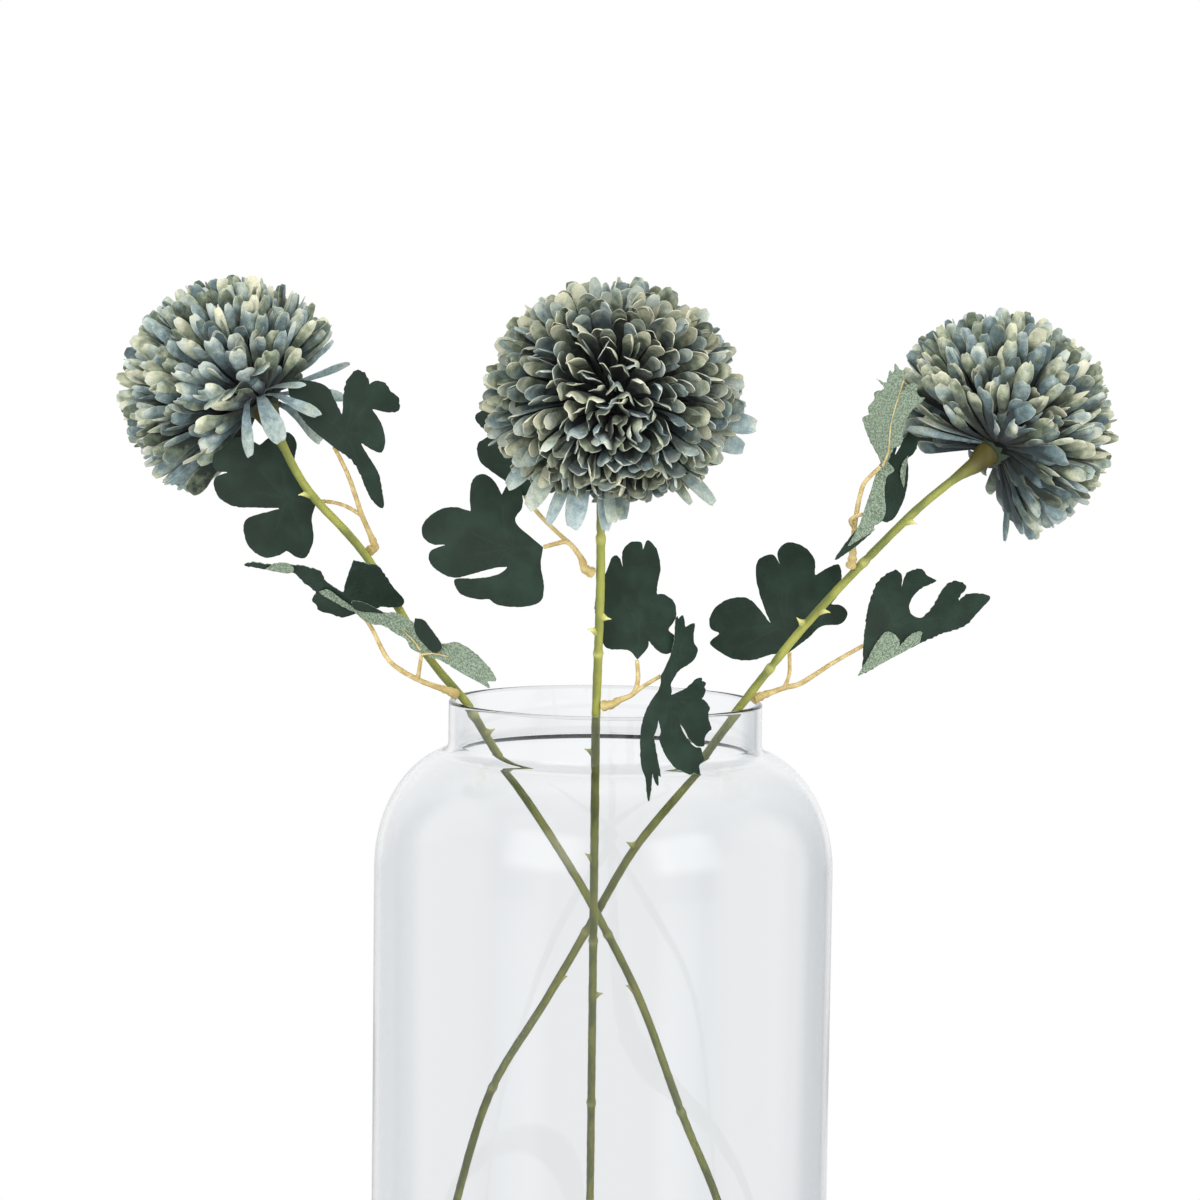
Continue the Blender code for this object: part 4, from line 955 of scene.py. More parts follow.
def make_bottle(glass):
    """Glass bottle: rounded foot, straight body, elliptic shoulder, short straight neck, rounded lip."""
    inner_neck = NECK_RADIUS - WALL
    foot = BODY_RADIUS - FOOT_ROUND
    inner_round = FOOT_ROUND - WALL
    outside = shoulder_to_neck((SHOULDER_REACH, SHOULDER_RISE), NECK_RADIUS, NECK_FILLET, 26)
    inner_reach = (SHOULDER_REACH - WALL, SHOULDER_RISE - WALL)
    inside_curve = shoulder_to_neck(inner_reach, inner_neck, NECK_FILLET + WALL, 24)
    neck = [BOTTLE_HEIGHT - LIP_ROUND - step for step in (0.4, 5, 10, 15)]
    lip = arc(((NECK_RADIUS + inner_neck) / 2, BOTTLE_HEIGHT - LIP_ROUND), (WALL / 2, LIP_ROUND), 0, 180, 10)
    profile = [(0, 0)]
    profile += arc((foot, FOOT_ROUND), (FOOT_ROUND, FOOT_ROUND), -90, 0, 10)
    profile += [(BODY_RADIUS, z) for z in range(30, 260, 20)]
    profile += outside + [(NECK_RADIUS, z) for z in reversed(neck)] + lip
    profile += [(inner_neck, z) for z in neck] + inside_curve[::-1]
    profile += [(BODY_RADIUS - WALL, z) for z in range(250, 20, -20)]
    profile += arc((foot, FLOOR + inner_round), (inner_round, inner_round), 0, -90, 8)
    profile += [(0, FLOOR)]
    add_piece("bottle", *lathe(profile, BOTTLE_SIDES), [glass], "clear_glass", "glass_bottle")


def unit(flower, key):
    """Unit vector of one of a flower's directions."""
    return Vector(flower[key]).normalized()


def stem_path(flower):
    """The stem's centre line, from the trumpet's face down to the bottle's floor."""
    neck = unit(flower, "neck")
    top = Vector(flower["calyx"]) - neck * (CALYX_THICKNESS + 2 * GAP)
    foot = flower["foot"]
    lead = [top, top - neck * 3, top - neck * 9]
    ends = [(*foot, FLOOR + GAP + 5), (*foot, FLOOR + GAP)]
    return smooth_path(lead + flower["route"] + ends, 6)


def distance_at_height(path, height):
    """Distance along a descending path to the first point that is as low as height."""
    for low, high, start in zip(path[1:], path, lengths_along(path)):
        if low.z <= height <= high.z:
            return start + (high - low).length * (high.z - height) / (high.z - low.z)
    return 0.0


def stem_radius(distance, rings):
    """Stem radius: a trumpet at the top, a collar with a nick above it at each ring, and slowly uneven."""
    flare = max(0.0, 1 - distance / TRUMPET_LENGTH)
    radius = STEM_RADIUS + (TRUMPET_RADIUS - STEM_RADIUS) * flare ** TRUMPET_CURVE
    for ring in rings:
        away = distance - ring
        radius += RING_SWELL * math.exp(-(away / RING_WIDTH) ** 2)
        radius -= NICK_DEPTH * math.exp(-((away + NICK_PLACE) / NICK_WIDTH) ** 2)
    return radius + STEM_UNEVEN * noise.noise(Vector((distance * STEM_WAVE, 0, 0)))


def make_thorn(parts, path, height, side, rise):
    """One hooked thorn with a foot that runs out along the stem."""
    distance = distance_at_height(path, height)
    root = point_at(path, distance)
    along = (point_at(path, distance + 2) - root).normalized()
    out = Vector((side, -THORN_FORWARD, rise)).normalized()
    hook = along.cross(out).cross(out) * THORN_HOOK
    route = [root + out * (THORN_LENGTH * t) + hook * t * t for t in THORN_SPOTS]
    verts, faces = tube(route, THORN_RADII, THORN_SIDES)
    rings = [i // THORN_SIDES for i in range(len(verts))]
    spread = [v + along * (v - root).dot(along) * THORN_SPREAD * (1 - ring / len(THORN_SPOTS))
              for v, ring in zip(verts, rings)]
    parts.add(spread, faces, thorn=[min(1.0, ring / 3) for ring in rings])


def make_stem(side, flower, plastic):
    """One stem with its trumpet, rings and thorns."""
    path = stem_path(flower)
    rings = [distance_at_height(path, z) for z in flower["rings"]]
    route = resample(path, STEM_STEP)
    lengths = lengths_along(route)
    radii = [stem_radius(s, rings) for s in lengths]
    parts = Parts("thorn", "trumpet")
    verts, faces = tube(route, radii, STEM_SIDES, STEM_SKIN)
    along = [lengths[i // STEM_SIDES] for i in range(len(verts))]
    near_top = [min(1.0, TRUMPET_BROWN * max(0.0, 1 - s / TRUMPET_LENGTH)) for s in along]
    near_ring = [RING_PALE * max(math.exp(-((s - ring) / RING_PALE_WIDTH) ** 2) for ring in rings)
                 for s in along]
    parts.add(verts, faces, trumpet=near_top, thorn=near_ring)
    for thorn in flower["thorns"]:
        make_thorn(parts, path, *thorn)
    add_piece("green_stem_" + side, parts.verts, parts.faces, [plastic], "stem_plastic", "stem_" + side,
              attributes=parts.attributes)


def make_sepals(side, flower, plastic):
    """Two rings of pointed sepals between the trumpet and the petals."""
    neck = unit(flower, "neck")
    turn = neck.to_track_quat("Z", "Y")
    calyx = Vector(flower["calyx"])
    draw = random.Random("sepals " + side)
    parts = Parts()
    foot = -CALYX_THICKNESS - GAP
    disc = [(0, foot), (TRUMPET_RADIUS, foot), (CALYX_RADIUS, -GAP), (CALYX_TOP_RADIUS, CALYX_TOP),
            (0, CALYX_TOP)]
    verts, faces = lathe(disc, CALYX_SIDES)
    parts.add([calyx + turn @ Vector(v) for v in verts], faces)
    for ring, (count, longest) in enumerate(SEPAL_RINGS):
        for i in range(count):
            angle = math.tau * (i + 0.5 * ring) / count + draw.uniform(-0.3, 0.3)
            out = turn @ Vector((math.cos(angle), math.sin(angle), 0))
            reach = longest * draw.uniform(0.75, 1.05)
            lift = draw.uniform(0.4, 1.3)
            line = [calyx + out * (SEPAL_ROOT + (reach - SEPAL_ROOT) * t)
                    + neck * (SEPAL_LEVELS[ring] + SEPAL_LIFT * lift * reach * t * t) for t in SEPAL_SPOTS]
            parts.add(*blade(line, neck.cross(out), SEPAL_HALVES, SEPAL_THICKNESS))
    add_piece("sepals_" + side, parts.verts, parts.faces, [plastic], "calyx_plastic", "calyx_" + side)


def blade(line, side, halves, thickness):
    """A closed narrow blade along a line, with a raised middle."""
    verts = []
    for i, (centre, half) in enumerate(zip(line, halves)):
        ahead = (line[min(i + 1, len(line) - 1)] - line[max(i - 1, 0)]).normalized()
        up = ahead.cross(side).normalized() * (thickness / 2)
        verts += [centre - side * half, centre + up, centre + side * half, centre - up]
    last = len(verts)
    faces = [[0, 1, 2, 3], [last - 1, last - 2, last - 3, last - 4]]
    for ring in range(0, last - 4, 4):
        faces += [[ring + k, ring + 4 + k, ring + 4 + (k + 1) % 4, ring + (k + 1) % 4] for k in range(4)]
    return verts, faces


def petal_grid(line, side, half_width, form):
    """The middle surface of one petal, as rings of points along it and columns across it, and the direction
    towards the ball's middle at each ring."""
    root, bend, tip = (np.array(p) for p in line)
    t = np.array(PETAL_RINGS)[:, None]
    centre = (1 - t) ** 2 * root + 2 * t * (1 - t) * bend + t * t * tip
    tangent = (1 - t) * (bend - root) + t * (tip - bend)
    tangent /= np.linalg.norm(tangent, axis=1)[:, None]
    side = np.array(side)[None, :] * np.ones_like(centre)
    inward = np.cross(tangent, side)
    twist = form["turn"] * np.clip(t * 2, 0, 1) + form["twist"] * t
    cosine, sine = np.cos(twist), np.sin(twist)
    side, inward = side * cosine + inward * sine, inward * cosine - side * sine
    t = t[:, 0]
    swell = PETAL_FOOT_WIDTH + (1 - PETAL_FOOT_WIDTH) * np.clip(t / PETAL_WIDEST, 0, 1) ** 2
    past = np.clip(t - form["shoulder"], 0, 1) / (PETAL_END - form["shoulder"])
    rounding = np.sqrt(np.clip(1 - past ** 2, 0, 1))
    half = half_width * swell * rounding ** form["blunt"]
    u = np.linspace(-1, 1, PETAL_COLUMNS)
    cup = form["cup"] * half[:, None] * (u[None, :] ** 2)
    hood = form["hood"] * half_width * (np.clip((t - HOOD_START) / (1 - HOOD_START), 0, 1) ** 2)[:, None]
    wave = form["wave"] * np.sin(WAVE_TURN * t[:, None] + form["phase"] + (u[None, :] > 0) * form["lag"])
    wave = wave * np.abs(u[None, :]) ** 1.5 * np.clip(t[:, None] * 2 - 0.6, 0, 1)
    fold = form["fold"] * half[:, None] * np.sin(FOLD_TURN * u[None, :] + form["phase"])
    offset = cup + hood + wave + fold * np.clip(t[:, None] * 1.7 - 0.5, 0, 1)
    flat = centre[:, None, :] + side[:, None, :] * (half[:, None] * u[None, :])[:, :, None]
    return flat + inward[:, None, :] * offset[:, :, None], inward


def shell_faces(rings, columns):
    """Faces of a closed thin sheet: a front grid, a back grid and the rim between them."""
    back = rings * columns
    faces = []
    for i in range(rings - 1):
        for k in range(columns - 1):
            a = i * columns + k
            faces.append([a, a + 1, a + columns + 1, a + columns])
            faces.append([back + a, back + a + columns, back + a + columns + 1, back + a + 1])
    rim = list(range(columns))
    rim += [i * columns + columns - 1 for i in range(1, rings)]
    rim += [(rings - 1) * columns + k for k in range(columns - 2, -1, -1)]
    rim += [i * columns for i in range(rings - 2, 0, -1)]
    faces += [[b, a, back + a, back + b] for a, b in zip(rim, rim[1:] + rim[:1])]
    return faces


PETAL_FACES = shell_faces(len(PETAL_RINGS), PETAL_COLUMNS)


class Petals:
    """All petals of one bloom, gathered as arrays."""

    def __init__(self):
        self.verts = []
        self.values = {"along": [], "edge": [], "tone": [], "pale": []}

    def add(self, line, side, half_width, form, tone, pale, painted_shade=0.0):
        """One petal along its root, bend and tip; painted_shade darkens its colours with painted shade."""
        grid, inward = petal_grid(line, side, half_width, form)
        skin = inward[:, None, :] * (PETAL_THICKNESS / 2)
        self.verts.append(np.concatenate([(grid + skin).reshape(-1, 3), (grid - skin).reshape(-1, 3)]))
        rings = np.repeat(np.array(PETAL_RINGS), PETAL_COLUMNS)
        across = np.tile(np.abs(np.linspace(-1, 1, PETAL_COLUMNS)), len(PETAL_RINGS))
        near_tip = np.clip((rings - 0.9) / 0.1, 0, 1) ** 2
        # Painted shade lowers along, so the petal takes darker colours from the ramp.
        self.values["along"].append(np.tile(rings - painted_shade, 2))
        self.values["edge"].append(np.tile(np.maximum(across, near_tip), 2))
        self.values["tone"].append(np.full(len(rings) * 2, tone))
        self.values["pale"].append(np.full(len(rings) * 2, pale))

    def mesh(self):
        """Points and faces of all the petals."""
        size = len(self.verts[0])
        faces = [[start + i for i in face] for start in range(0, size * len(self.verts), size)
                 for face in PETAL_FACES]
        return np.concatenate(self.verts), faces

    def attributes(self):
        return {key: np.concatenate(values) for key, values in self.values.items()}


def petal_form(draw, ruffle):
    """The shape numbers of one petal: its turn, twist, cup, hood at the tip, waves and how blunt it ends.
    The hood raises the tip about as far as the cup raises the edges, so that the tip isn't notched."""
    cup = draw.uniform(0.1, 0.6)
    return {
        "turn": draw.gauss(0, 0.5),
        "twist": draw.gauss(0, 0.25 + 0.2 * ruffle),
        "cup": cup,
        "hood": (LEVEL_HOOD * cup + draw.gauss(-0.03, 0.15)) * (1 - ruffle),
        "wave": draw.uniform(0.05, 0.45) + 0.3 * ruffle,
        "fold": draw.uniform(0.0, 0.25) + draw.uniform(0.3, 0.65) * ruffle,
        "phase": draw.uniform(0, math.tau),
        "lag": draw.uniform(1.5, 4.5),
        "shoulder": draw.uniform(0.76, 0.88),
        "blunt": draw.uniform(0.7, 1.15),
    }


def round_face(flower, turned):
    """The direction at an angle round the flower's face, and how far from the face its petals go there."""
    face = unit(flower, "face")
    front = (Vector((0, -1, 0)) + face * face.y).normalized()
    directions, reaches = zip(*flower["reach"])
    limit = math.radians(np.interp(math.degrees(turned), directions, reaches))
    return front * math.cos(turned) + face.cross(front) * math.sin(turned), limit


def near_face(angle, degrees):
    """1 at the middle of the bloom's face, fading out over about so many degrees."""
    return math.exp(-(angle / math.radians(degrees)) ** 2)


def ball_petals(petals, flower, draw):
    """The petals of the ball, spread evenly by the golden angle and fewer where the stem leaves."""
    centre, calyx = Vector(flower["centre"]), Vector(flower["calyx"])
    face, neck = unit(flower, "face"), unit(flower, "neck")
    golden = math.pi * (3 - math.sqrt(5))
    widest = math.radians(max(limit for _, limit in flower["reach"]))
    flat_top, flat_bottom = flower["flat"]
    for i in range(PETAL_COUNT):
        share = ((i + 0.5) / PETAL_COUNT) ** CENTRE_CROWDING
        angle = math.acos(1 - share * (1 - math.cos(widest))) + draw.gauss(0, ANGLE_SCATTER)
        turned = (i * golden + draw.gauss(0, TURN_SCATTER) + math.pi) % math.tau - math.pi
        around, limit = round_face(flower, turned)
        if angle > limit:
            continue
        out = face * math.cos(angle) + around * math.sin(angle)
        ruffle = near_face(angle, RUFFLED_ANGLE)
        dimple = DIMPLE_DEPTH * near_face(angle, DIMPLE_ANGLE)
        flat = flat_top * max(0.0, out.z) ** 2 + flat_bottom * max(0.0, -out.z) ** 2
        reach = BALL_RADIUS * (1 - dimple - flat + min(MOST_REACH, draw.gauss(*REACH_SCATTER)))
        lean = math.radians(draw.gauss(*PETAL_LEAN)) * (1 - ruffle)
        wide = min(angle + lean, math.radians(WIDEST_BEND))
        root = calyx + neck * (ROOT_DEPTH + ROOT_SPAN * (1 - angle / widest)) + around * ROOT_SPREAD
        root = root.lerp(centre + face * RUFFLED_ROOT, ruffle)
        bend = centre + (face * math.cos(wide) + around * math.sin(wide)) * BALL_RADIUS * BEND_REACH
        half = PETAL_HALF_WIDTH * draw.uniform(0.75, 1.15) * (1 + 0.2 * ruffle)
        form = petal_form(draw, ruffle)
        if draw.random() < NARROW_SHARE:
            half *= NARROW_WIDTH
            form.update(NARROW_END)
        hanging = max(0.0, -out.z - HANGING_SLOPE) * max(0.0, angle - math.radians(HANGING_ANGLE))
        pale = min(MOST_PALE, HANGING_PALE * hanging) * draw.uniform(0.2, 1.0)
        line = (root, bend, centre + out * reach)
        # Painted shade: the side blooms are darker all over, and the petals near the face's middle more so.
        painted_shade = flower["painted_shade"] + CENTRE_PAINTED_SHADE * ruffle
        petals.add(line, face.cross(around).normalized(), half, form, draw.random(), pale, painted_shade)


def short_petals(petals, flower, draw):
    """Short petals that lie over the ball's underside, round the calyx."""
    centre, calyx = Vector(flower["centre"]), Vector(flower["calyx"])
    face, neck = unit(flower, "face"), unit(flower, "neck")
    for i in range(SHORT_PETALS):
        turned = math.tau * (i + draw.uniform(-0.4, 0.4)) / SHORT_PETALS - math.pi
        around, limit = round_face(flower, turned)
        if limit < math.radians(SHORT_PETAL_LIMIT):
            continue
        root = calyx + neck * SHORT_ROOT_DEPTH + around * ROOT_SPREAD
        rim = centre + (face * math.cos(limit) + around * math.sin(limit)) * BALL_RADIUS
        tip = root.lerp(rim, draw.uniform(0.42, 0.95)) - face * draw.uniform(0.5, 5.0)
        bend = root.lerp(tip, 0.55) - face * draw.uniform(0.0, 4.0)
        form = petal_form(draw, 0)
        half = PETAL_HALF_WIDTH * draw.uniform(0.9, 1.35)
        side = face.cross(around).normalized()
        # The bloom's painted shade darkens these short petals too.
        petals.add((root, bend, tip), side, half, form, draw.random(), 0.0, flower["painted_shade"])


def loose_petals(petals, flower, draw):
    """The petals that hang free round the calyx or cover the ball's underside."""
    neck = unit(flower, "neck")
    root = Vector(flower["calyx"]) + neck * LOOSE_ROOT_DEPTH
    for bend, tip, half, light in flower["loose"]:
        side = neck.cross(Vector(bend) - root).normalized()
        form = petal_form(draw, 0)
        form["turn"] *= 0.3
        form.update(LOOSE_END)
        tone = 0.1 + 0.7 * light + draw.gauss(0, 0.08)
        petals.add((root, Vector(bend), Vector(tip)), side, half, form, tone, max(0.0, light - 0.2))


def core_ball(flower):
    """The ball that the petals stand on, coloured near black with painted shade."""
    curve = arc((0, 0), (CORE_RADIUS, CORE_RADIUS), -90, 90, CORE_SIDES // 2)
    verts, faces = lathe([(0, -CORE_RADIUS)] + curve[1:-1] + [(0, CORE_RADIUS)], CORE_SIDES)
    neck = unit(flower, "neck")
    centre = Vector(flower["calyx"]) + neck * (CORE_RADIUS + CORE_DEPTH)
    return [centre + Vector(v) for v in verts], faces


def make_bloom(side, flower, fabric):
    """One pompon of several hundred fabric petals on a dark core."""
    draw = random.Random("petals " + side)
    petals = Petals()
    ball_petals(petals, flower, draw)
    short_petals(petals, flower, draw)
    loose_petals(petals, flower, draw)
    verts, faces = petals.mesh()
    core_verts, core_faces = core_ball(flower)
    faces += [[len(verts) + i for i in face] for face in core_faces]
    verts = np.concatenate([verts, np.array(core_verts)])
    # The core sits at along 0, the near-black painted shade of the petals' foot.
    dark = np.zeros(len(core_verts))
    attributes = {key: np.concatenate([values, dark]) for key, values in petals.attributes().items()}
    add_piece("petals_" + side, verts, faces, [fabric], "petal_fabric", "bloom_" + side,
              attributes=attributes)


def twig_root(twig):
    """The twig's first two points: its root beside the stem, and a point straight out from there."""
    path = stem_path(FLOWERS[twig["flower"]])
    distance = distance_at_height(path, twig["height"])
    on_stem = point_at(path, distance)
    along = (point_at(path, distance + 2) - on_stem).normalized()
    away = (Vector(twig["main"][0]) - on_stem).normalized()
    lean = abs(away.dot(along))
    reach = (STEM_RADIUS + GAP + TWIG_ROOT_RADIUS * lean) / math.sqrt(1 - lean * lean)
    return [on_stem + away * reach, on_stem + away * (reach + TWIG_LEAD)]


def twig_radius(distance, total):
    """Twig radius: a thick knuckled root, then a slow taper."""
    root = max(0.0, 1 - distance / TWIG_ROOT_LENGTH)
    knuckles = KNUCKLE_SWELL * math.sin(distance * KNUCKLE_TURN) * min(1.0, root * 2)
    taper = TWIG_NECK_RADIUS + (TWIG_TIP_RADIUS - TWIG_NECK_RADIUS) * distance / total
    return taper + (TWIG_ROOT_RADIUS - TWIG_NECK_RADIUS) * root + knuckles


def make_twig(name, twig, plastic):
    """One forked twig: its main route and the side shoot."""
    main = resample(smooth_path(twig_root(twig) + twig["main"][1:], 5), TWIG_STEP)
    lengths = lengths_along(main)
    radii = [twig_radius(s, lengths[-1]) for s in lengths]
    parts = Parts("root")
    verts, faces = tube(main, radii, TWIG_SIDES, TWIG_SKIN)
    along = [lengths[i // TWIG_SIDES] for i in range(len(verts))]
    parts.add(verts, faces, root=[max(0.0, 1 - s / TWIG_BROWN_LENGTH) for s in along])
    fork = twig["main"][twig["fork"]]
    side = resample(smooth_path([fork] + twig["side"], 5), TWIG_STEP)
    radii = [TWIG_TIP_RADIUS * (1 + FORK_SWELL * math.exp(-i * TWIG_STEP / 2)) for i in range(len(side))]
    parts.add(*tube(side, radii, TWIG_SIDES, TWIG_SKIN))
    for leaf in LEAVES.values():
        for rib in leaf.get("ribs", []) if leaf["twig"] == name else []:
            line = rib_line(leaf, rib)
            radii = [RIB_RADIUS * (1 - RIB_TAPER * i / len(line)) for i in range(len(line))]
            parts.add(*tube(line, radii, RIB_SIDES))
    add_piece("tan_twig_" + name, parts.verts, parts.faces, [plastic], "twig_plastic", "twig_" + name,
              attributes=parts.attributes)


def leaf_base(leaf):
    """The leaf's base: its sheet lies over the end of the twig, on the side that the twig points to."""
    twig = TWIGS[leaf["twig"]]
    route = twig["side"] if leaf["end"] else twig["main"]
    end = Vector(route[-1])
    along = (end - Vector(route[-2])).normalized()
    normal = leaf_normal(leaf, 0, 0)
    facing = along.dot(normal)
    reach = TWIG_TIP_RADIUS * math.sqrt(1 - facing * facing) + CAD_LEAF_THICKNESS / 2 + GAP
    return end + normal * (reach if facing > 0 else -reach)


def flat_curve(points, steps):
    """A smooth line through flat points."""
    return [(p.x, p.y) for p in smooth_path([(*p, 0) for p in points], steps)]


def outline_points(outline, steps):
    """The leaf's outline as points: each lobe a smooth line from notch to notch."""
    points = []
    start = (0, 0)
    for lobe in outline:
        points += flat_curve([start] + lobe, steps)[:-1]
        start = lobe[-1]
    return points


def cut_edge(points, teeth, draw):
    """The outline at even steps, with the slanting teeth and small unevenness of a cut cloth edge."""
    line = resample([Vector((*p, 0)) for p in points + points[:1]], EDGE_STEP)[:-1]
    edge = []
    for i, spot in enumerate(line):
        ahead = (line[(i + 1) % len(line)] - line[i - 1]).normalized()
        inward = Vector((ahead.y, -ahead.x, 0)) if clockwise(points) else Vector((-ahead.y, ahead.x, 0))
        phase = i * EDGE_STEP / TOOTH_STEP + TOOTH_DRIFT * noise.noise(spot * TOOTH_DRIFT_OFTEN)
        patch = max(0.0, 0.5 + 1.5 * noise.noise(spot * TOOTH_PATCH_OFTEN + Vector((3, 5, 7))))
        depth = teeth * (phase % 1) * min(1.0, patch) + draw.gauss(0, EDGE_SCATTER)
        moved = spot + inward * depth * min(1.0, spot.length / CALM_LENGTH)
        edge.append((moved.x, moved.y))
    return edge


def clockwise(points):
    """Whether an outline runs clockwise."""
    return sum(x1 * z2 - x2 * z1 for (x1, z1), (x2, z2) in zip(points, points[1:] + points[:1])) < 0


def inside(spot, points):
    """Whether a spot lies inside an outline, by counting crossings."""
    crossings = 0
    for (x1, z1), (x2, z2) in zip(points, points[1:] + points[:1]):
        if (z1 > spot[1]) != (z2 > spot[1]):
            crossings += spot[0] < x1 + (spot[1] - z1) * (x2 - x1) / (z2 - z1)
    return crossings % 2 == 1


def vein_lines(leaf):
    """One vein for each lobe: a bowed line from the base to near the lobe's far end."""
    lobes = leaf["outline"]
    points = outline_points(lobes, 2)
    middle = Vector([sum(values) / len(points) for values in zip(*points)] + [0])
    lines = []
    for lobe in lobes:
        far = max(lobe, key=lambda p: math.hypot(*p))
        if math.hypot(*far) > LEAST_VEIN:
            end = Vector((*far, 0)) * VEIN_REACH
            bow = middle * 0.45 + end * 0.12
            lines.append(resample(smooth_path([(0, 0, 0), bow, end], 8), VEIN_STEP))
    return lines


def vein_distance(spot, lines):
    """Distance from a spot to the nearest vein."""
    return min((math.dist(spot, (p.x, p.y)) for line in lines for p in line), default=99.0)


def sheet_spots(edge, lines):
    """Points inside the leaf: along the veins, at both sides of them, and a grid between."""
    spots = []
    for line in lines:
        for a, b in zip(line, line[1:]):
            across = Vector((a.y - b.y, b.x - a.x, 0)).normalized() * VEIN_HALF_WIDTH
            spots += [a, a + across, a - across]
    kept = []
    for spot in [(p.x, p.y) for p in spots]:
        if all(math.dist(spot, other) > SPOT_GAP for other in kept):
            kept.append(spot)
    (left, right), (low, high) = [(min(values), max(values)) for values in zip(*edge)]
    for i in range(int((right - left) / LEAF_GRID) + 1):
        for k in range(int((high - low) / LEAF_GRID) + 1):
            spot = (left + (i + 0.5 + 0.25 * (k % 2)) * LEAF_GRID, low + (k + 0.5) * LEAF_GRID)
            if vein_distance(spot, lines) > VEIN_HALF_WIDTH + VEIN_CLEARANCE:
                kept.append(spot)
    return [s for s in kept if inside(s, edge) and min(math.dist(s, p) for p in edge) > EDGE_CLEARANCE]


def leaf_point(leaf, x, z):
    """A point of the leaf's sheet in its own place: sloped and bent."""
    slope, bend = leaf["slope"], leaf["bend"]
    depth = slope[0] * x + slope[1] * z + bend[0] * x * x + bend[1] * z * z + bend[2] * x * z
    return Vector((x, depth, z)) * leaf["size"]


def leaf_normal(leaf, x, z):
    """Unit normal of the leaf's sheet on its -Y side."""
    step = 0.3
    across = leaf_point(leaf, x + step, z) - leaf_point(leaf, x - step, z)
    up = leaf_point(leaf, x, z + step) - leaf_point(leaf, x, z - step)
    return across.cross(up).normalized()


def leaf_relief(x, z, lines, seed):
    """Height of the sheet above its plain form: pressed veins and soft crumples."""
    pressed = -VEIN_DEPTH * math.exp(-(vein_distance((x, z), lines) / VEIN_HALF_WIDTH) ** 2)
    crumple = sum(high * noise.noise(Vector((x * often, z * often, seed))) for high, often in CRUMPLES)
    fade = min(1.0, math.hypot(x, z) / CRUMPLE_FADE)
    return pressed + crumple * fade


def sheet(leaf, flat, edge_count, height):
    """A closed cloth sheet over flat points, whose first edge_count are its outline. The function height
    gives each point's height above the leaf's plain form. What comes back is the sheet's points, its front,
    back and rim faces, and the flat points."""
    points, _, cells = delaunay_2d_cdt([Vector(p) for p in flat], [], [list(range(edge_count))], 1, 1e-4)[:3]
    base = leaf_base(leaf)
    front = []
    back = []
    for p in points:
        normal = leaf_normal(leaf, p.x, p.y)
        centre = base + leaf_point(leaf, p.x, p.y) + normal * height(p.x, p.y)
        front.append(centre + normal * (LEAF_THICKNESS / 2))
        back.append(centre - normal * (LEAF_THICKNESS / 2))
    shift = len(points)
    front_faces = [list(cell) for cell in cells]
    back_faces = [[i + shift for i in reversed(cell)] for cell in cells]
    return front + back, front_faces, back_faces, rim_faces(cells, shift), points


def flap_height(roll, x, z):
    """Height of a flap above its leaf: it lifts with the distance from the roll."""
    (x1, z1), (x2, z2) = roll[0], roll[-1]
    away = abs((x - x1) * (z2 - z1) - (z - z1) * (x2 - x1)) / math.dist(roll[0], roll[-1])
    return LEAF_THICKNESS + FLAP_GAP + FLAP_LIFT * away * math.exp(-away / FLAP_CURL)


def make_leaf(name, leaf, materials, number):
    """One lobed leaf: a thin cloth sheet with pressed veins, dark on one face and pale on the other, and its
    rolled flaps with the faces the other way round."""
    draw = random.Random("leaf " + name)
    dark, pale = (1, 0) if name in PALE_IN_FRONT else (0, 1)
    parts = Parts("vein")
    edge = cut_edge(outline_points(leaf["outline"], CURVE_STEPS), leaf["teeth"], draw)
    lines = vein_lines(leaf)
    flat = edge + sheet_spots(edge, lines)
    seed = number * SEED_STEP
    verts, front, back, rim, points = sheet(leaf, flat, len(edge),
                                            lambda x, z: leaf_relief(x, z, lines, seed))
    veins = [math.exp(-(vein_distance((p.x, p.y), lines) / VEIN_LOOK_WIDTH) ** 2) for p in points]
    parts.add(verts, front + back + rim, vein=veins * 2)
    sides = [dark] * len(front) + [pale] * len(back) + [1] * len(rim)
    for roll in leaf.get("flaps", []):
        flap_edge = cut_edge(flat_curve(roll, CURVE_STEPS), leaf["teeth"] * FLAP_TEETH, draw)
        flat = flap_edge + sheet_spots(flap_edge, [])
        verts, front, back, rim, _ = sheet(leaf, flat, len(flap_edge), lambda x, z: flap_height(roll, x, z))
        parts.add(verts, front + back + rim)
        sides += [pale] * len(front) + [dark] * len(back) + [1] * len(rim)
    add_piece("cloth_leaf_" + name, parts.verts, parts.faces, materials, "leaf_fabric", "leaf_" + name,
              face_materials=sides, attributes=parts.attributes)


def rib_line(leaf, rib):
    """A raised vein's line on the front of its leaf."""
    base = leaf_base(leaf)
    lift = LEAF_THICKNESS / 2 + RIB_LIFT
    return [base + leaf_point(leaf, x, z) + leaf_normal(leaf, x, z) * lift for x, z in flat_curve(rib, 6)]


def rim_faces(cells, shift):
    """Faces that join the two sides of a sheet round its edge."""
    sides = [(f[i], f[(i + 1) % len(f)]) for f in cells for i in range(len(f))]
    present = set(sides)
    return [[b, a, a + shift, b + shift] for a, b in sides if (b, a) not in present]


def make_floor(paper):
    """A plain round floor."""
    mesh = bpy.data.meshes.new("floor")
    angles = [math.tau * i / FLOOR_SIDES for i in range(FLOOR_SIDES)]
    ring = [(FLOOR_RADIUS * math.cos(a), FLOOR_RADIUS * math.sin(a), 0) for a in angles]
    mesh.from_pydata(ring, [], [list(range(FLOOR_SIDES))])
    mesh.materials.append(paper)
    floor = bpy.data.objects.new("floor", mesh)
    bpy.context.scene.collection.objects.link(floor)
    floor.location.z = -FLOOR_DROP
    floor.visible_transmission = floor.visible_glossy = False


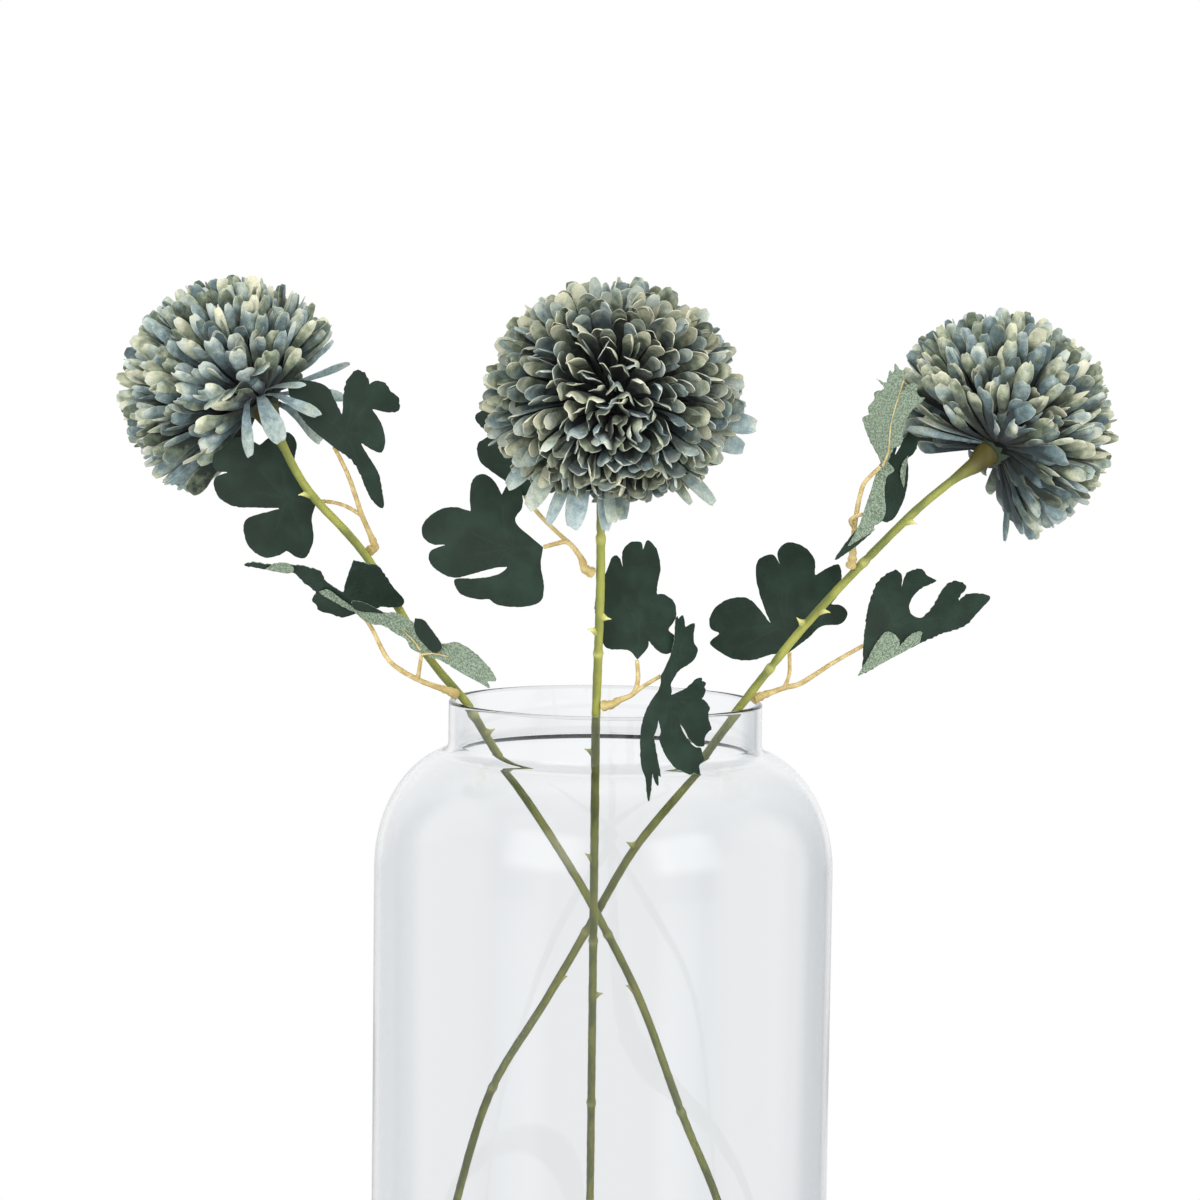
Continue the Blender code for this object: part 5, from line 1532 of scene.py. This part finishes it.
def make_camera():
    """The photograph's camera."""
    camera = bpy.data.cameras.new("camera")
    camera.sensor_width = SENSOR_WIDTH
    camera.lens = CAMERA_LENS
    obj = bpy.data.objects.new("camera", camera)
    bpy.context.scene.collection.objects.link(obj)
    tilt = Matrix.Rotation(math.radians(90 - CAMERA_DOWN), 4, "X")
    roll = Matrix.Rotation(math.radians(CAMERA_ROLL), 4, "Z")
    obj.matrix_world = Matrix.Translation(Vector(CAMERA_PLACE) * MM) @ tilt @ roll
    bpy.context.scene.camera = obj


def soften(light):
    """Lets a light fade towards its edges, so that its mirror image has no hard border."""
    light.use_nodes = True
    s = Nodes(light.node_tree)
    spot = s.axes(s.node("ShaderNodeNewGeometry").outputs["Parametric"])
    away = [s.math("ABSOLUTE", s.math("SUBTRACT", spot[axis], 0.5)) for axis in "XY"]
    fades = [s.span(off, 0.5, LIGHT_FADE_START) for off in away]
    s.link(s.math("MULTIPLY", *fades), s.tree.nodes["Emission"].inputs["Strength"])


def area_light(name, place, aim, size, watts):
    """A soft rectangular light at a place, turned to the point that it lights."""
    light = bpy.data.lights.new(name, "AREA")
    light.shape = "RECTANGLE"
    light.size, light.size_y = size
    light.energy = watts
    soften(light)
    obj = bpy.data.objects.new(name, light)
    bpy.context.scene.collection.objects.link(obj)
    obj.location = place
    obj.rotation_euler = (Vector(aim) - Vector(place)).to_track_quat("-Z", "Y").to_euler()
    return obj


def make_lights():
    """The soft lights of the table, the studio, and plain display colours."""
    for name, (place, aim, size, watts, through, mirrored) in LIGHTS.items():
        light = area_light(name, place, aim, size, watts)
        light.visible_transmission = through
        light.visible_glossy = mirrored
    make_world()
    bpy.context.scene.view_settings.view_transform = "Standard"


def make_world():
    """The studio round the object, in its front colour and tints. On cloth it shines evenly, and straight to
    the camera it is white."""
    world = bpy.data.worlds.new("studio")
    bpy.context.scene.world = world
    world.use_nodes = True
    s = Nodes(world.node_tree)
    way = s.axes(s.node("ShaderNodeTexCoord").outputs["Generated"])
    shade = STUDIO_FRONT
    for fades, colour in STUDIO_TINTS:
        amount = 1.0
        for axis, near, far in fades:
            amount = s.math("MULTIPLY", amount, s.span(way[axis], near, far, "LINEAR"))
        shade = s.mix(amount, shade, colour)
    path = s.node("ShaderNodeLightPath").outputs
    room, white = s.tree.nodes["Background"], s.node("ShaderNodeBackground")
    s.feed(room.inputs["Color"], s.mix(path["Is Diffuse Ray"], shade, STUDIO_GLOW))
    s.feed(white.inputs["Color"], WHITE)
    either = s.node("ShaderNodeMixShader")
    for socket, source in zip(either.inputs, (path["Is Camera Ray"], room.outputs[0], white.outputs[0])):
        s.link(source, socket)
    s.link(either.outputs[0], s.tree.nodes["World Output"].inputs["Surface"])


def main():
    """Builds every piece, the floor, the camera and the lights."""
    make_camera()
    make_bottle(clear_glass())
    stem, calyx, petal, twig = stem_plastic(), calyx_plastic(), petal_fabric(), twig_plastic()
    for side, flower in FLOWERS.items():
        make_stem(side, flower, stem)
        make_sepals(side, flower, calyx)
        make_bloom(side, flower, petal)
    for name, shoot in TWIGS.items():
        make_twig(name, shoot, twig)
    cloth = [leaf_top(), leaf_under()]
    for number, (name, leaf) in enumerate(LEAVES.items()):
        make_leaf(name, leaf, cloth, number)
    make_floor(floor_paper())
    make_lights()


main()
